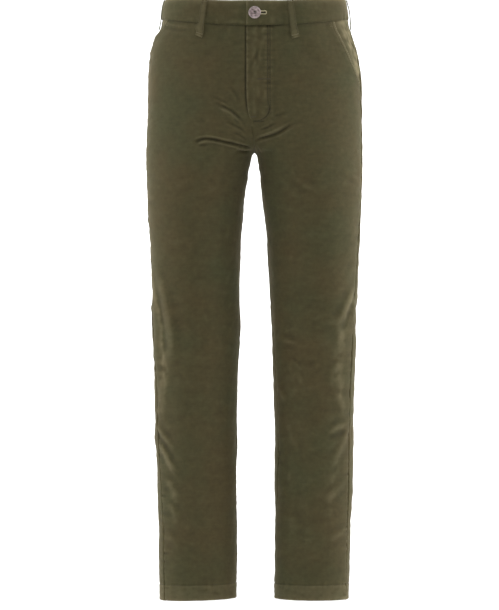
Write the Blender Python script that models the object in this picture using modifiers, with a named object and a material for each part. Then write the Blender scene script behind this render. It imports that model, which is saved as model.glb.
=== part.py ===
"""Moleskin trousers, filled out as worn, hollow from the waist to both hems.

Metres, +Z up, front towards -Y, wearer's left towards +X. The origin is the middle
of the waist opening, level with the waistband's top edge at the sides.

Each leg is one ring of cloth at every level. Its turn is an angle: 0 at the inner
side, a quarter turn at the front, a half turn at the outer side, three quarters at
the back. Above the crotch the two legs' rings run together and each stops at the
middle of the body. The four leg panels, the pocket facings, the waistband and the
belt loops are all cut from that one surface.
"""
from collections import namedtuple
from math import pi

import bmesh
import bpy
import numpy as np
from mathutils import Vector

# Driving sizes
LENGTH = 1.030            # waistband's top edge at the side, down to the hem
CROTCH_DROP = 0.2666      # the same edge, down to the crotch
SEAM_DROP = 0.0349        # depth of the waistband at the side
CLOTH = 0.0016            # wall of one layer of moleskin
HEM_CLOTH = 0.0032        # wall where the hem is turned up inside
HEM_DEPTH = 0.027
BAND_CLOTH = 0.0030       # two layers and their stiffening
BAND_PROUD = 0.0006       # waistband's face in front of the panels'
SEAM_GAP = 0.0003         # space between neighbouring pieces
FLY_WIDTH = 0.038
FLY_PROUD = 0.0012
FLY_END_DROP = 0.222
BAND_LAP = 0.0036         # height of the lapping end over the other one
BAND_UNDERLAP_X = 0.022   # where the lower end stops, past the middle
BAND_LAP_FOOT = 0.050
BAND_LAP_CREST = 0.0255
MOUTH_PROUD = 0.0012
MOUTH_BOTTOM_DROP = 0.148
FACING_SUNK = 0.0026      # facing's face behind the front panel's
FACING_TUCK = 0.070       # radians of facing under the pocket mouth
FACING_BOTTOM_DROP = 0.153
LOOP_WIDTH = 0.0115
LOOP_CLOTH = 0.0018
BUTTON_RADIUS = 0.0100
BUTTON_THICKNESS = 0.0034
BUTTON_DROP = 0.0163
BUTTON_HOLE_RADIUS = 0.0010
BUTTON_HOLE_PITCH = 0.0016
PANEL_COLUMNS = 12
BAND_COLUMNS = 30
FACING_COLUMNS = 5
LOOP_ROWS = 14

LEFT, RIGHT = 1, -1       # wearer's sides, and the sign of X
FRONT, BACK = -1, 1       # sign of Y

# Half width of the outline on each side, metres from the middle
Outline = namedtuple("Outline", "drop left right")
OUTLINE = [
    Outline(0.000, 0.1565, 0.1532), Outline(0.010, 0.1582, 0.1565),
    Outline(0.021, 0.1602, 0.1582), Outline(0.034, 0.1612, 0.1594),
    Outline(0.052, 0.1638, 0.1628), Outline(0.062, 0.1682, 0.1694),
    Outline(0.069, 0.1703, 0.1725), Outline(0.086, 0.1756, 0.1775),
    Outline(0.103, 0.1788, 0.1799), Outline(0.138, 0.1845, 0.1836),
    Outline(0.189, 0.1855, 0.1842), Outline(0.275, 0.1858, 0.1864),
    Outline(0.344, 0.1846, 0.1845), Outline(0.413, 0.1809, 0.1799),
    Outline(0.482, 0.1776, 0.1765), Outline(0.568, 0.1746, 0.1757),
    Outline(0.654, 0.1724, 0.1729), Outline(0.740, 0.1710, 0.1710),
    Outline(0.826, 0.1694, 0.1678), Outline(0.912, 0.1660, 0.1655),
    Outline(1.030, 0.1622, 0.1643),
]

# Inner side of each leg's ring; below zero the two rings run together
Inside = namedtuple("Inside", "drop left right")
INSIDE = [
    Inside(0.000, -0.1557, -0.1557), Inside(0.021, -0.1593, -0.1593),
    Inside(0.034, -0.1603, -0.1603), Inside(0.052, -0.1631, -0.1631),
    Inside(0.062, -0.1686, -0.1686), Inside(0.069, -0.1717, -0.1717),
    Inside(0.086, -0.1763, -0.1763), Inside(0.103, -0.1789, -0.1789),
    Inside(0.138, -0.1832, -0.1832), Inside(0.160, -0.1740, -0.1740),
    Inside(0.180, -0.1500, -0.1500), Inside(0.205, -0.1100, -0.1100),
    Inside(0.228, -0.0680, -0.0680), Inside(0.244, -0.0380, -0.0380),
    Inside(0.256, -0.0170, -0.0170), Inside(CROTCH_DROP, 0.0, 0.0),
    Inside(0.275, 0.0046, 0.0044), Inside(0.284, 0.0060, 0.0063),
    Inside(0.310, 0.0086, 0.0112), Inside(0.344, 0.0136, 0.0170),
    Inside(0.378, 0.0174, 0.0206), Inside(0.413, 0.0204, 0.0232),
    Inside(0.482, 0.0250, 0.0247), Inside(0.568, 0.0287, 0.0254),
    Inside(0.654, 0.0317, 0.0285), Inside(0.740, 0.0337, 0.0300),
    Inside(1.030, 0.0348, 0.0308),
]

# Where a ring is deepest: the middle of the body above, the middle of the leg below
Crest = namedtuple("Crest", "drop across")
CREST = [
    Crest(0.000, 0.0), Crest(0.120, 0.0), Crest(0.150, 0.006), Crest(0.190, 0.027),
    Crest(0.230, 0.053), Crest(0.267, 0.074), Crest(0.305, 0.090), Crest(0.344, 0.0985),
    Crest(0.413, 0.1010), Crest(0.482, 0.1007), Crest(0.568, 0.1013), Crest(0.654, 0.1015),
    Crest(0.740, 0.1018), Crest(0.826, 0.1008), Crest(0.912, 0.0998), Crest(LENGTH, 0.0985),
]

# Depth of a ring in front of and behind its middle, and how square its corners are
Depth = namedtuple("Depth", "drop front back middle square")
DEPTH = [
    Depth(0.000, 0.099, 0.097, 0.002, 0.06),
    Depth(0.034, 0.101, 0.101, 0.003, 0.06),
    Depth(0.070, 0.103, 0.109, 0.004, 0.06),
    Depth(0.105, 0.105, 0.116, 0.005, 0.06),
    Depth(0.150, 0.106, 0.121, 0.006, 0.06),
    Depth(0.190, 0.105, 0.122, 0.006, 0.05),
    Depth(0.230, 0.103, 0.119, 0.005, 0.04),
    Depth(0.267, 0.098, 0.112, 0.004, 0.03),
    Depth(0.300, 0.093, 0.104, 0.002, 0.02),
    Depth(0.344, 0.087, 0.095, 0.000, 0.02),
    Depth(0.413, 0.079, 0.084, -0.002, 0.02),
    Depth(0.482, 0.073, 0.078, -0.004, 0.02),
    Depth(0.568, 0.067, 0.073, -0.004, 0.02),
    Depth(0.654, 0.065, 0.073, 0.000, 0.02),
    Depth(0.740, 0.062, 0.070, 0.006, 0.02),
    Depth(0.826, 0.059, 0.066, 0.010, 0.02),
    Depth(0.912, 0.057, 0.061, 0.012, 0.02),
    Depth(LENGTH, 0.056, 0.058, 0.013, 0.02),
]

# The waist is lower at the front and higher at the back than at the sides, and the
# right hem is lower at the outer side than at the inner one
Slope = namedtuple("Slope", "drop front_dip back_rise left_tilt right_tilt")
SLOPE = [
    Slope(0.000, 0.0089, 0.0090, 0.0, 0.0), Slope(SEAM_DROP, 0.0171, 0.0059, 0.0, 0.0),
    Slope(0.090, 0.0120, 0.0050, 0.0, 0.0), Slope(0.150, 0.0040, 0.0020, 0.0, 0.0),
    Slope(0.200, 0.0, 0.0, 0.0, 0.0), Slope(0.850, 0.0, 0.0, 0.0, 0.0),
    Slope(LENGTH, 0.0, 0.0, 0.0004, 0.0018),
]

# Where the two fronts meet: the fly's edge lies to the wearer's right of the middle
FlyEdge = namedtuple("FlyEdge", "drop across")
FLY_EDGE = [
    FlyEdge(0.000, -0.0138), FlyEdge(0.170, -0.0138), FlyEdge(0.198, -0.0110),
    FlyEdge(0.220, -0.0060), FlyEdge(0.245, -0.0015), FlyEdge(CROTCH_DROP, 0.0),
    FlyEdge(LENGTH, 0.0),
]

# Side seams, degrees in front of the ring's outer side
SideSeam = namedtuple("SideSeam", "drop left right")
SIDE_SEAM = [
    SideSeam(0.000, 10.0, -7.0), SideSeam(0.148, 12.5, -7.0), SideSeam(0.275, 14.0, -4.0),
    SideSeam(0.430, 18.0, 6.0), SideSeam(0.540, 24.0, 12.0), SideSeam(0.654, 30.0, 20.0),
    SideSeam(0.780, 31.0, 27.0), SideSeam(0.900, 29.5, 32.0), SideSeam(LENGTH, 26.0, 34.0),
]

# Inseams below the crotch, degrees in front of the ring's inner side
Inseam = namedtuple("Inseam", "drop left right")
INSEAM = [
    Inseam(0.000, 0.0, 0.0), Inseam(0.300, 0.0, 0.0), Inseam(0.450, 6.0, 6.0),
    Inseam(0.560, 14.0, 9.0), Inseam(0.660, 25.0, 10.0), Inseam(0.740, 29.0, 10.0),
    Inseam(0.840, 25.0, 10.0), Inseam(0.890, 12.0, 10.0), Inseam(0.940, 4.0, 10.0),
    Inseam(LENGTH, 0.0, 10.0),
]

# Edges of the pocket mouths, degrees in front of the ring's outer side
Mouth =namedtuple("Mouth", "drop left right")
MOUTH = [
    Mouth(0.000, 41.0, 31.0), Mouth(SEAM_DROP, 37.5, 25.5), Mouth(0.075, 33.0, 6.0),
    Mouth(0.115, 26.5, -0.5), Mouth(0.132, 21.5, -4.0), Mouth(MOUTH_BOTTOM_DROP, 12.5, -7.0),
]

# Largest folds, drawn on the front or back as seen square on: a soft trough from one
# point to another, across counted outwards from the middle
Fold = namedtuple("Fold", "side face across_a drop_a across_b drop_b width depth")
FOLDS = [
    Fold(RIGHT, FRONT, 0.012, 0.254, 0.100, 0.243, 0.010, 0.0034),
    Fold(RIGHT, FRONT, 0.014, 0.212, 0.060, 0.180, 0.012, 0.0022),
    Fold(LEFT, FRONT, 0.006, 0.243, 0.060, 0.226, 0.011, 0.0026),
    Fold(LEFT, FRONT, 0.030, 0.300, 0.110, 0.270, 0.018, 0.0020),
    Fold(RIGHT, FRONT, 0.178, 0.452, 0.140, 0.575, 0.020, 0.0030),
    Fold(LEFT, FRONT, 0.175, 0.495, 0.128, 0.575, 0.020, 0.0030),
    Fold(RIGHT, FRONT, 0.176, 0.735, 0.125, 0.865, 0.022, 0.0028),
    Fold(LEFT, FRONT, 0.176, 0.755, 0.130, 0.835, 0.022, 0.0028),
    Fold(LEFT, FRONT, 0.040, 0.610, 0.085, 0.590, 0.014, 0.0020),
    Fold(RIGHT, BACK, 0.012, 0.300, 0.085, 0.262, 0.013, 0.0028),
    Fold(LEFT, BACK, 0.012, 0.296, 0.095, 0.255, 0.013, 0.0028),
    Fold(RIGHT, BACK, 0.035, 0.345, 0.120, 0.312, 0.018, 0.0022),
    Fold(LEFT, BACK, 0.030, 0.350, 0.110, 0.305, 0.018, 0.0024),
    Fold(RIGHT, BACK, 0.050, 0.585, 0.150, 0.560, 0.018, 0.0034),
    Fold(LEFT, BACK, 0.050, 0.575, 0.150, 0.600, 0.018, 0.0034),
    Fold(RIGHT, BACK, 0.060, 0.640, 0.150, 0.600, 0.018, 0.0026),
    Fold(LEFT, BACK, 0.060, 0.620, 0.145, 0.650, 0.018, 0.0026),
]

# How far a belt loop's inner face stands off the band, from its top to its foot
StandOff = namedtuple("StandOff", "share height")
STAND_OFF = [
    StandOff(0.00, 0.0004), StandOff(0.10, 0.0010), StandOff(0.30, 0.0030),
    StandOff(0.60, 0.0038), StandOff(0.78, 0.0034), StandOff(0.92, 0.0010),
    StandOff(1.00, 0.0004),
]

# Belt loops: the ring's turn at the top, in degrees, how far the foot leans out, and
# how far down the foot ends
BeltLoop = namedtuple("BeltLoop", "name side turn lean length")
BELT_LOOPS = [
    BeltLoop("belt_loop_front_left", LEFT, 111.6, 0.006, 0.0590),
    BeltLoop("belt_loop_front_right", RIGHT, 121.2, 0.004, 0.0585),
    BeltLoop("belt_loop_side_left", LEFT, 180.5, 0.0, 0.0530),
    BeltLoop("belt_loop_side_right", RIGHT, 181.0, 0.0, 0.0530),
    BeltLoop("belt_loop_back", LEFT, 270.0, 0.0, 0.0560),
]

CLOTH_COLOUR = (0.070, 0.061, 0.032, 1.0)
BUTTON_COLOUR = (0.23, 0.17, 0.14, 1.0)


def curve(table, name, at):
    """Smooth curve through one column of a table, with no overshoot between rows."""
    place = np.array([row[0] for row in table])
    value = np.array([getattr(row, name) for row in table])
    width = np.diff(place)
    slope = np.diff(value) / width
    tangent = np.zeros(len(value))
    same_way = slope[:-1] * slope[1:] > 0
    before, after = slope[:-1][same_way], slope[1:][same_way]
    tangent[1:-1][same_way] = 2 * before * after / (before + after)
    tangent[0], tangent[-1] = slope[0], slope[-1]
    at = np.clip(np.asarray(at, dtype=float), place[0], place[-1])
    i = np.clip(np.searchsorted(place, at, side="right") - 1, 0, len(width) - 1)
    t = (at - place[i]) / width[i]
    from_start = (1 + 2 * t) * (1 - t) ** 2 * value[i] + t ** 2 * (3 - 2 * t) * value[i + 1]
    from_slopes = t * (1 - t) ** 2 * tangent[i] - t ** 2 * (1 - t) * tangent[i + 1]
    return from_start + width[i] * from_slopes


def ease(low, high, at):
    """Smooth step from 0 at low to 1 at high; low may be the larger one."""
    t = np.clip((at - low) / (high - low), 0.0, 1.0)
    return t * t * (3 - 2 * t)


def squareness(turn, amount):
    """Factor that pushes a ring's four corners outwards."""
    return 1 + amount * np.sin(2 * turn) ** 2


def word(side):
    """Name of a side, as it stands in the tables and the pieces' names."""
    return "left" if side == LEFT else "right"


def ring_span(side, face, drop):
    """Crest of a ring, its reach inwards and outwards, and where it meets the other leg."""
    crest = curve(CREST, "across", drop)
    meeting = side * curve(FLY_EDGE, "across", drop) if face == FRONT else 0.0 * drop
    inner = curve(INSIDE, word(side), drop) + meeting
    return crest, crest - inner, curve(OUTLINE, word(side), drop) - crest, meeting


def surface(side, turn, drop):
    """Point of the bare cloth surface, on the wearer's left or mirrored onto it."""
    turn, drop = np.broadcast_arrays(np.asarray(turn, float), np.asarray(drop, float))
    at_front = np.sin(turn) > 0
    crest, inward_front, outward_reach, _ = ring_span(side, FRONT, drop)
    _, inward_back, _, _ = ring_span(side, BACK, drop)
    inward = np.where(at_front, inward_front, inward_back)
    reach = np.where(np.cos(turn) > 0, inward, outward_reach)
    square = squareness(turn, curve(DEPTH, "square", drop))
    front, back = curve(DEPTH, "front", drop), curve(DEPTH, "back", drop)
    depth = np.where(at_front, front, back)
    dip = np.where(at_front, -curve(SLOPE, "front_dip", drop), curve(SLOPE, "back_rise", drop))
    tilt = curve(SLOPE, word(side) + "_tilt", drop)
    x = crest - reach * np.cos(turn) * square
    y = curve(DEPTH, "middle", drop) - depth * np.sin(turn) * square
    z = -drop + dip * np.sin(turn) ** 2 + tilt * np.cos(turn)
    return np.stack([x, y, z], axis=-1)


def outward(side, turn, drop):
    """Unit normal of the bare surface, from its two slopes."""
    step = 2e-4
    along = surface(side, turn + step, drop) - surface(side, turn - step, drop)
    down = surface(side, turn, drop + step) - surface(side, turn, drop - step)
    normal = np.cross(down, along)
    return normal / np.linalg.norm(normal, axis=-1, keepdims=True)


def turn_at(side, face, drop, across):
    """Turn at which a ring is the given distance from the middle of the body."""
    crest, inward, outward_reach, _ = ring_span(side, face, drop)
    wanted = (crest - across) / np.where(across < crest, inward, outward_reach)
    amount = curve(DEPTH, "square", drop)
    turn = np.arccos(np.clip(wanted, -1.0, 1.0))
    for _ in range(40):
        turn = np.arccos(np.clip(wanted / squareness(turn, amount), -1.0, 1.0))
    return turn if face == FRONT else 2 * pi - turn


def inner_edge(side, face, drop):
    """Turn of the centre seam above the crotch and of the inseam below it, and of the
    inner side that the columns are counted from."""
    meeting = ring_span(side, face, drop)[-1]
    at_middle = turn_at(side, face, drop, meeting)
    inseam = (0.0 if face == FRONT else 2 * pi) + np.radians(curve(INSEAM, word(side), drop))
    return np.where(drop < CROTCH_DROP - 1e-6, at_middle, inseam), inseam


def spread(seam_inner, seam_side, inseam):
    """Turns of a panel's columns. Above the crotch the inner ones close up towards the
    centre seam, and the outer ones stay where they are on the leg below."""
    share = np.linspace(0.0, 1.0, PANEL_COLUMNS + 1)[None, :]
    missing = seam_inner - inseam
    full = seam_side - inseam
    power = np.clip(0.8 * full / np.where(missing == 0.0, full, missing), 1.0, 4.0)
    return inseam + full * share + missing * (1 - share) ** power


def side_turn(table, side, drop):
    """Turn of a side seam or a pocket mouth."""
    return pi - np.radians(curve(table, word(side), drop))


def fold_relief(side, turn, drop, point):
    """Height added by the folds: a trough with a low ridge along each of its sides."""
    height = np.zeros(turn.shape)
    for fold in FOLDS:
        if fold.side != side:
            continue
        start = np.array([fold.across_a, fold.drop_a])
        reach = np.array([fold.across_b, fold.drop_b]) - start
        length = np.hypot(*reach)
        place = np.stack([point[..., 0] - start[0], drop - start[1]], axis=-1)
        along = place @ reach / length ** 2
        across = (place @ np.array([-reach[1], reach[0]])) / length / fold.width
        trough = np.exp(-across ** 2)
        ridges = np.exp(-(across - 1.7) ** 2) + np.exp(-(across + 1.7) ** 2)
        ends = ease(-0.15, 0.3, along) * ease(1.2, 0.7, along)
        facing = ease(0.02, 0.30, -fold.face * np.sin(turn))
        height += fold.depth * (0.4 * ridges - trough) * ends * facing
    centre_fade = ease(0.0, 0.022, point[..., 0])
    return height * np.where(drop < CROTCH_DROP + 0.02, centre_fade, 1.0)


def fly_relief(side, drop, point):
    """Height of the fly's stitched layers on the wearer's left front."""
    if side != LEFT:
        return 0.0
    from_edge = point[..., 0] - curve(FLY_EDGE, "across", drop)
    across = ease(FLY_WIDTH + 0.008, FLY_WIDTH - 0.004, from_edge)
    return FLY_PROUD * across * ease(FLY_END_DROP, FLY_END_DROP - 0.03, drop)


def mouth_relief(side, turn, drop):
    """Height of the pocket mouth, which stands a little open."""
    behind = np.abs(side_turn(MOUTH, side, drop) - turn) * 0.14
    return MOUTH_PROUD * np.exp(-(behind / 0.016) ** 2) * ease(MOUTH_BOTTOM_DROP, 0.11, drop)


def levels():
    """Drops of the panels' rows: close at the crotch, where the seat curves under."""
    hips = np.linspace(SEAM_DROP + SEAM_GAP / 2, MOUTH_BOTTOM_DROP, 9)
    seat = np.linspace(MOUTH_BOTTOM_DROP, 0.212, 6)[1:]
    above = CROTCH_DROP - np.array([0.0410, 0.0290, 0.0190, 0.0110, 0.0055, 0.0020])
    below = CROTCH_DROP + np.array([0.0, 0.0028, 0.0070, 0.0130, 0.0210, 0.0320, 0.0460])
    hem_top = LENGTH - HEM_DEPTH
    leg = np.linspace(below[-1], hem_top, 29)[1:]
    hem = np.array([hem_top + 0.0025, LENGTH - 0.012, LENGTH])
    return np.concatenate([hips, seat, above, below, leg, hem])


def add_wall(name, outer, inner, collection, material):
    """Closed wall between two grids of points, as one object."""
    rows, columns = outer.shape[:2]
    number = np.arange(rows * columns).reshape(rows, columns)
    shift = rows * columns
    a, b, c, d = number[:-1, :-1], number[:-1, 1:], number[1:, 1:], number[1:, :-1]
    face = np.stack([a, b, c, d], axis=-1).reshape(-1, 4)
    rim = np.concatenate([number[0], number[1:, -1], number[-1, -2::-1], number[-2:0:-1, 0]])
    after = np.roll(rim, -1)
    side = np.stack([after, rim, rim + shift, after + shift], axis=-1)
    faces = np.concatenate([face, face[:, ::-1] + shift, side])
    points = np.concatenate([outer.reshape(-1, 3), inner.reshape(-1, 3)])
    mesh = bpy.data.meshes.new(name)
    mesh.from_pydata(points.tolist(), [], faces.tolist())
    solid = bmesh.new()
    solid.from_mesh(mesh)
    if solid.calc_volume(signed=True) < 0:
        bmesh.ops.reverse_faces(solid, faces=solid.faces)
    solid.to_mesh(mesh)
    solid.free()
    mesh.shade_smooth()
    mesh.set_sharp_from_angle(angle=0.9)
    mesh.materials.append(material)
    piece = bpy.data.objects.new(name, mesh)
    collection.objects.link(piece)
    return piece


def on_side(points, side, face):
    """Clear the seams by half a gap, and mirror the wearer's right side into place."""
    moved = points + np.array([SEAM_GAP / 2, face * SEAM_GAP / 2, 0.0])
    return moved * np.array([side, 1.0, 1.0])


def add_panel(name, side, face, collection, material):
    """One leg panel, from the waistband's seam to the hem."""
    drop = levels()[:, None]
    seam_side = side_turn(SIDE_SEAM, side, drop)
    if face == FRONT:
        mouth = side_turn(MOUTH, side, drop)
        seam_side = np.where(drop < MOUTH_BOTTOM_DROP - 1e-6, mouth, seam_side)
    seam_inner, inseam = inner_edge(side, face, drop)
    turn = spread(seam_inner, seam_side, inseam)
    drop = np.broadcast_to(drop, turn.shape)
    point, normal = surface(side, turn, drop), outward(side, turn, drop)
    height = fold_relief(side, turn, drop, point)
    if face == FRONT:
        height = height + fly_relief(side, drop, point) + mouth_relief(side, turn, drop)
    outer = point + normal * height[..., None]
    cloth = np.where(drop > LENGTH - HEM_DEPTH + 1e-6, HEM_CLOTH, CLOTH)
    inner = outer - normal * cloth[..., None]
    add_wall(name, on_side(outer, side, face), on_side(inner, side, face), collection, material)


def add_facing(name, side, collection, material):
    """Pocket facing: it shows behind the mouth and tucks in under the front panel."""
    rows = levels()
    rows = np.append(rows[rows < MOUTH_BOTTOM_DROP + 1e-6], FACING_BOTTOM_DROP)
    drop = rows[:, None]
    mouth, seam = side_turn(MOUTH, side, drop), side_turn(SIDE_SEAM, side, drop)
    share = np.linspace(0.0, 1.0, FACING_COLUMNS + 1)[None, :]
    turn = mouth - FACING_TUCK + (seam - mouth + FACING_TUCK) * share
    drop = np.broadcast_to(drop, turn.shape)
    point, normal = surface(side, turn, drop), outward(side, turn, drop)
    width = np.maximum(seam - mouth, 1e-6)
    rising = ease(1.0, 0.0, (turn - mouth) / width)
    sunk = FACING_SUNK * np.maximum(rising, ease(0.06, 0.02, width))
    outer = point - normal * sunk[..., None]
    inner = outer - normal * CLOTH
    add_wall(name, on_side(outer, side, FRONT), on_side(inner, side, FRONT), collection, material)


def add_band(name, side, collection, material):
    """Half of the waistband, from its front end round to the centre back."""
    drop = np.array([0.0, 0.004, 0.018, SEAM_DROP - SEAM_GAP / 2])[:, None]
    front_end = curve(FLY_EDGE, "across", 0.0) if side == LEFT else -BAND_UNDERLAP_X
    start = turn_at(side, FRONT, drop, front_end)
    share = np.linspace(0.0, 1.0, BAND_COLUMNS + 1)[None, :]
    turn = start + (1.5 * pi - start) * share
    drop = np.broadcast_to(drop, turn.shape)
    point, normal = surface(side, turn, drop), outward(side, turn, drop)
    height = np.full(turn.shape, BAND_PROUD)
    if side == LEFT:
        lap = ease(BAND_LAP_FOOT, BAND_LAP_CREST, point[..., 0]) * (turn < pi)
        height = height + BAND_LAP * lap
    outer = point + normal * height[..., None]
    inner = outer - normal * BAND_CLOTH
    gap = np.array([SEAM_GAP / 2, 0.0, 0.0])
    mirror = np.array([side, 1.0, 1.0])
    add_wall(name, (outer + gap) * mirror, (inner + gap) * mirror, collection, material)


def add_loop(loop, collection, material):
    """Belt loop: a flat strip that stands off the waistband between its two ends."""
    share = np.linspace(0.0, 1.0, LOOP_ROWS + 1)[:, None]
    drop = 0.0003 + share * (loop.length - 0.0003)
    centre = np.radians(loop.turn) + 0.0 * drop
    step = 1e-3
    ahead = surface(loop.side, centre + step, drop) - surface(loop.side, centre - step, drop)
    metres_per_turn = np.linalg.norm(ahead, axis=-1) / (2 * step)
    across = np.array([-0.5, 0.0, 0.5])[None, :] * LOOP_WIDTH
    turn = centre + (across + loop.lean * share) / metres_per_turn
    drop = np.broadcast_to(drop, turn.shape)
    point, normal = surface(loop.side, turn, drop), outward(loop.side, turn, drop)
    height = BAND_PROUD + curve(STAND_OFF, "height", share)
    inner = point + normal * height[..., None]
    outer = inner + normal * LOOP_CLOTH
    mirror = np.array([loop.side, 1.0, 1.0])
    add_wall(loop.name, outer * mirror, inner * mirror, collection, material)


def add_button(name, collection, cutters, material):
    """Round button with a raised rim, a dished face and four holes."""
    turn = turn_at(LEFT, FRONT, np.array(BUTTON_DROP), 0.0)
    drop = np.array(BUTTON_DROP)
    point = surface(LEFT, turn, drop)
    normal = Vector(outward(LEFT, turn, drop))
    seat = BAND_PROUD + BAND_LAP + SEAM_GAP + 0.0002
    r, t = BUTTON_RADIUS, BUTTON_THICKNESS
    profile = [
        (0.0, 0.55 * t), (0.62 * r, 0.60 * t), (0.74 * r, 0.88 * t), (0.84 * r, t),
        (0.94 * r, 0.94 * t), (r, 0.70 * t), (0.97 * r, 0.42 * t), (0.80 * r, 0.12 * t),
        (0.55 * r, 0.0), (0.0, 0.0),
    ]
    mesh = bpy.data.meshes.new(name)
    edges = [(i, i + 1) for i in range(len(profile) - 1)]
    mesh.from_pydata([(x, 0.0, z) for x, z in profile], edges, [])
    button = bpy.data.objects.new(name, mesh)
    collection.objects.link(button)
    screw = button.modifiers.new("turned", "SCREW")
    screw.steps = screw.render_steps = 28
    screw.use_merge_vertices = True
    screw.merge_threshold = 0.00005
    holes = bmesh.new()
    for x in (-BUTTON_HOLE_PITCH, BUTTON_HOLE_PITCH):
        for y in (-BUTTON_HOLE_PITCH, BUTTON_HOLE_PITCH):
            made = bmesh.ops.create_cone(holes, cap_ends=True, segments=10, depth=4 * t,
                                         radius1=BUTTON_HOLE_RADIUS, radius2=BUTTON_HOLE_RADIUS)
            bmesh.ops.translate(holes, verts=made["verts"], vec=(x, y, 0.0))
    cutter_mesh = bpy.data.meshes.new(name + "_holes")
    holes.to_mesh(cutter_mesh)
    holes.free()
    cutter = bpy.data.objects.new(name + "_holes", cutter_mesh)
    cutter.hide_render = True
    cutter.display_type = "WIRE"
    cutters.objects.link(cutter)
    drilled = button.modifiers.new("holes", "BOOLEAN")
    drilled.object = cutter
    for item in (button, cutter):
        item.rotation_mode = "QUATERNION"
        item.rotation_quaternion = Vector((0.0, 0.0, 1.0)).rotation_difference(normal)
        item.location = Vector(point) + normal * seat
    mesh.materials.append(material)


def make_material(name, colour, roughness):
    """Plain principled material."""
    material = bpy.data.materials.new(name)
    material.use_nodes = True
    shader = material.node_tree.nodes["Principled BSDF"]
    shader.inputs["Base Color"].default_value = colour
    shader.inputs["Roughness"].default_value = roughness
    shader.inputs["Metallic"].default_value = 0.0
    return material


def main():
    for item in list(bpy.data.objects):
        bpy.data.objects.remove(item)
    trousers = bpy.data.collections.new("moleskin_trousers")
    cutters = bpy.data.collections.new("cutters")
    bpy.context.scene.collection.children.link(trousers)
    bpy.context.scene.collection.children.link(cutters)
    for side in (LEFT, RIGHT):
        for face, where in ((FRONT, "front_"), (BACK, "back_")):
            name = where + word(side)
            add_panel(name, side, face, trousers, make_material(name, CLOTH_COLOUR, 0.9))
        name = "pocket_facing_" + word(side)
        add_facing(name, side, trousers, make_material(name, CLOTH_COLOUR, 0.9))
        name = "waistband_" + word(side)
        add_band(name, side, trousers, make_material(name, CLOTH_COLOUR, 0.9))
    for loop in BELT_LOOPS:
        add_loop(loop, trousers, make_material(loop.name, CLOTH_COLOUR, 0.9))
    name = "waist_button"
    add_button(name, trousers, cutters, make_material(name, BUTTON_COLOUR, 0.35))


main()
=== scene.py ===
"""Moleskin trousers in the shape they take on a wearer: the cloth, the sewing and the button, around the
solids.

Metres, +Z up, front towards -Y, wearer's left towards +X. Each leg is one ring of cloth
at every level. A ring's turn is an angle: 0 at the inner side, a quarter turn at the
front, a half turn at the outer side, three quarters at the back. A drop is a depth below
the waistband's top edge at the side. The right leg is worked out on the left and mirrored.
"""
from __future__ import annotations

import logging
import math
from dataclasses import dataclass, field
from enum import Enum
from typing import Any, NamedTuple, Sequence

import bpy
import numpy as np
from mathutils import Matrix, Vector

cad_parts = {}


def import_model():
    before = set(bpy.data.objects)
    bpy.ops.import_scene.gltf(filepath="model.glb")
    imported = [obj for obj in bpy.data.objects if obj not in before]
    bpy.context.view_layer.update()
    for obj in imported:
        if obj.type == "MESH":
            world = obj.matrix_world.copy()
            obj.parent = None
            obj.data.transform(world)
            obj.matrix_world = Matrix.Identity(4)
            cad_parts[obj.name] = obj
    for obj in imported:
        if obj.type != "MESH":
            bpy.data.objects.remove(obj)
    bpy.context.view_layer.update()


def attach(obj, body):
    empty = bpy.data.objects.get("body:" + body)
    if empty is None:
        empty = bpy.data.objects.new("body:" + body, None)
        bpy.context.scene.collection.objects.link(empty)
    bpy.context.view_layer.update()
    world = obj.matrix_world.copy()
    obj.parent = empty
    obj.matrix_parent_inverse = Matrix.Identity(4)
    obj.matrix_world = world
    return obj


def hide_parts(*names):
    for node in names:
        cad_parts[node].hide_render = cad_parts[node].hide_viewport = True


LOG = logging.getLogger("trousers")
Array, Piece = np.ndarray, bpy.types.Object
Material, Socket = bpy.types.Material, bpy.types.NodeSocket
MM = 0.001
LENGTH = 1.030
CROTCH = 0.2632
SEAM = 0.0349
GAP = 0.0003
MOUTH_END = 0.148
FLY_END = 0.222
HEM_DEPTH = 0.027
HEM_LINE = LENGTH - HEM_DEPTH
BUTTON_DROP = 0.0163
FLY_ROWS = (0.0359, 0.0396)
MOUTH_ROWS = (0.0017, 0.0066)
DEEPEST_PAINTED_SHADE = -0.8


class Side(Enum):
    """Wearer's side, with the sign of X."""

    LEFT = 1
    RIGHT = -1

    @property
    def word(self) -> str:
        """Name of the side in the tables and in the pieces' names."""
        return self.name.lower()


class Face(Enum):
    """Front or back of a leg, with the sign of Y."""

    FRONT = -1
    BACK = 1


class Seen(Enum):
    """Where a crease's across is counted: on the front, on the back, or round a side."""

    FRONT = 0
    BACK = 1
    OUTER = 2
    INNER = 3


class Fold(Enum):
    """Section of a crease: a soft trough, a pinched crease or a raised line; or a strip
    of painted highlight, whose depth is an amount from 0 to 1 and no height."""

    TROUGH = 0
    PINCH = 1
    RIDGE = 2
    RUB = 3


class Outline(NamedTuple):
    """Half width of the outline on each side, from the middle."""

    drop: float
    left: float
    right: float


class Inside(NamedTuple):
    """Inner side of each leg's ring; below zero the two rings run together."""

    drop: float
    left: float
    right: float


class Crest(NamedTuple):
    """Where a ring is deepest, from the middle."""

    drop: float
    across: float


class Depth(NamedTuple):
    """Depth of a ring in front of and behind its middle, and how square it is."""

    drop: float
    front: float
    back: float
    middle: float
    square: float


class Slope(NamedTuple):
    """Dip of a level at the front, rise at the back, and tilt of each hem."""

    drop: float
    front_dip: float
    back_rise: float
    left_tilt: float
    right_tilt: float


class Angle(NamedTuple):
    """Place of a seam or edge on each side, in degrees forward."""

    drop: float
    left: float
    right: float


class FlyEdge(NamedTuple):
    """Place of the fly's edge, from the middle."""

    drop: float
    across: float


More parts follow.
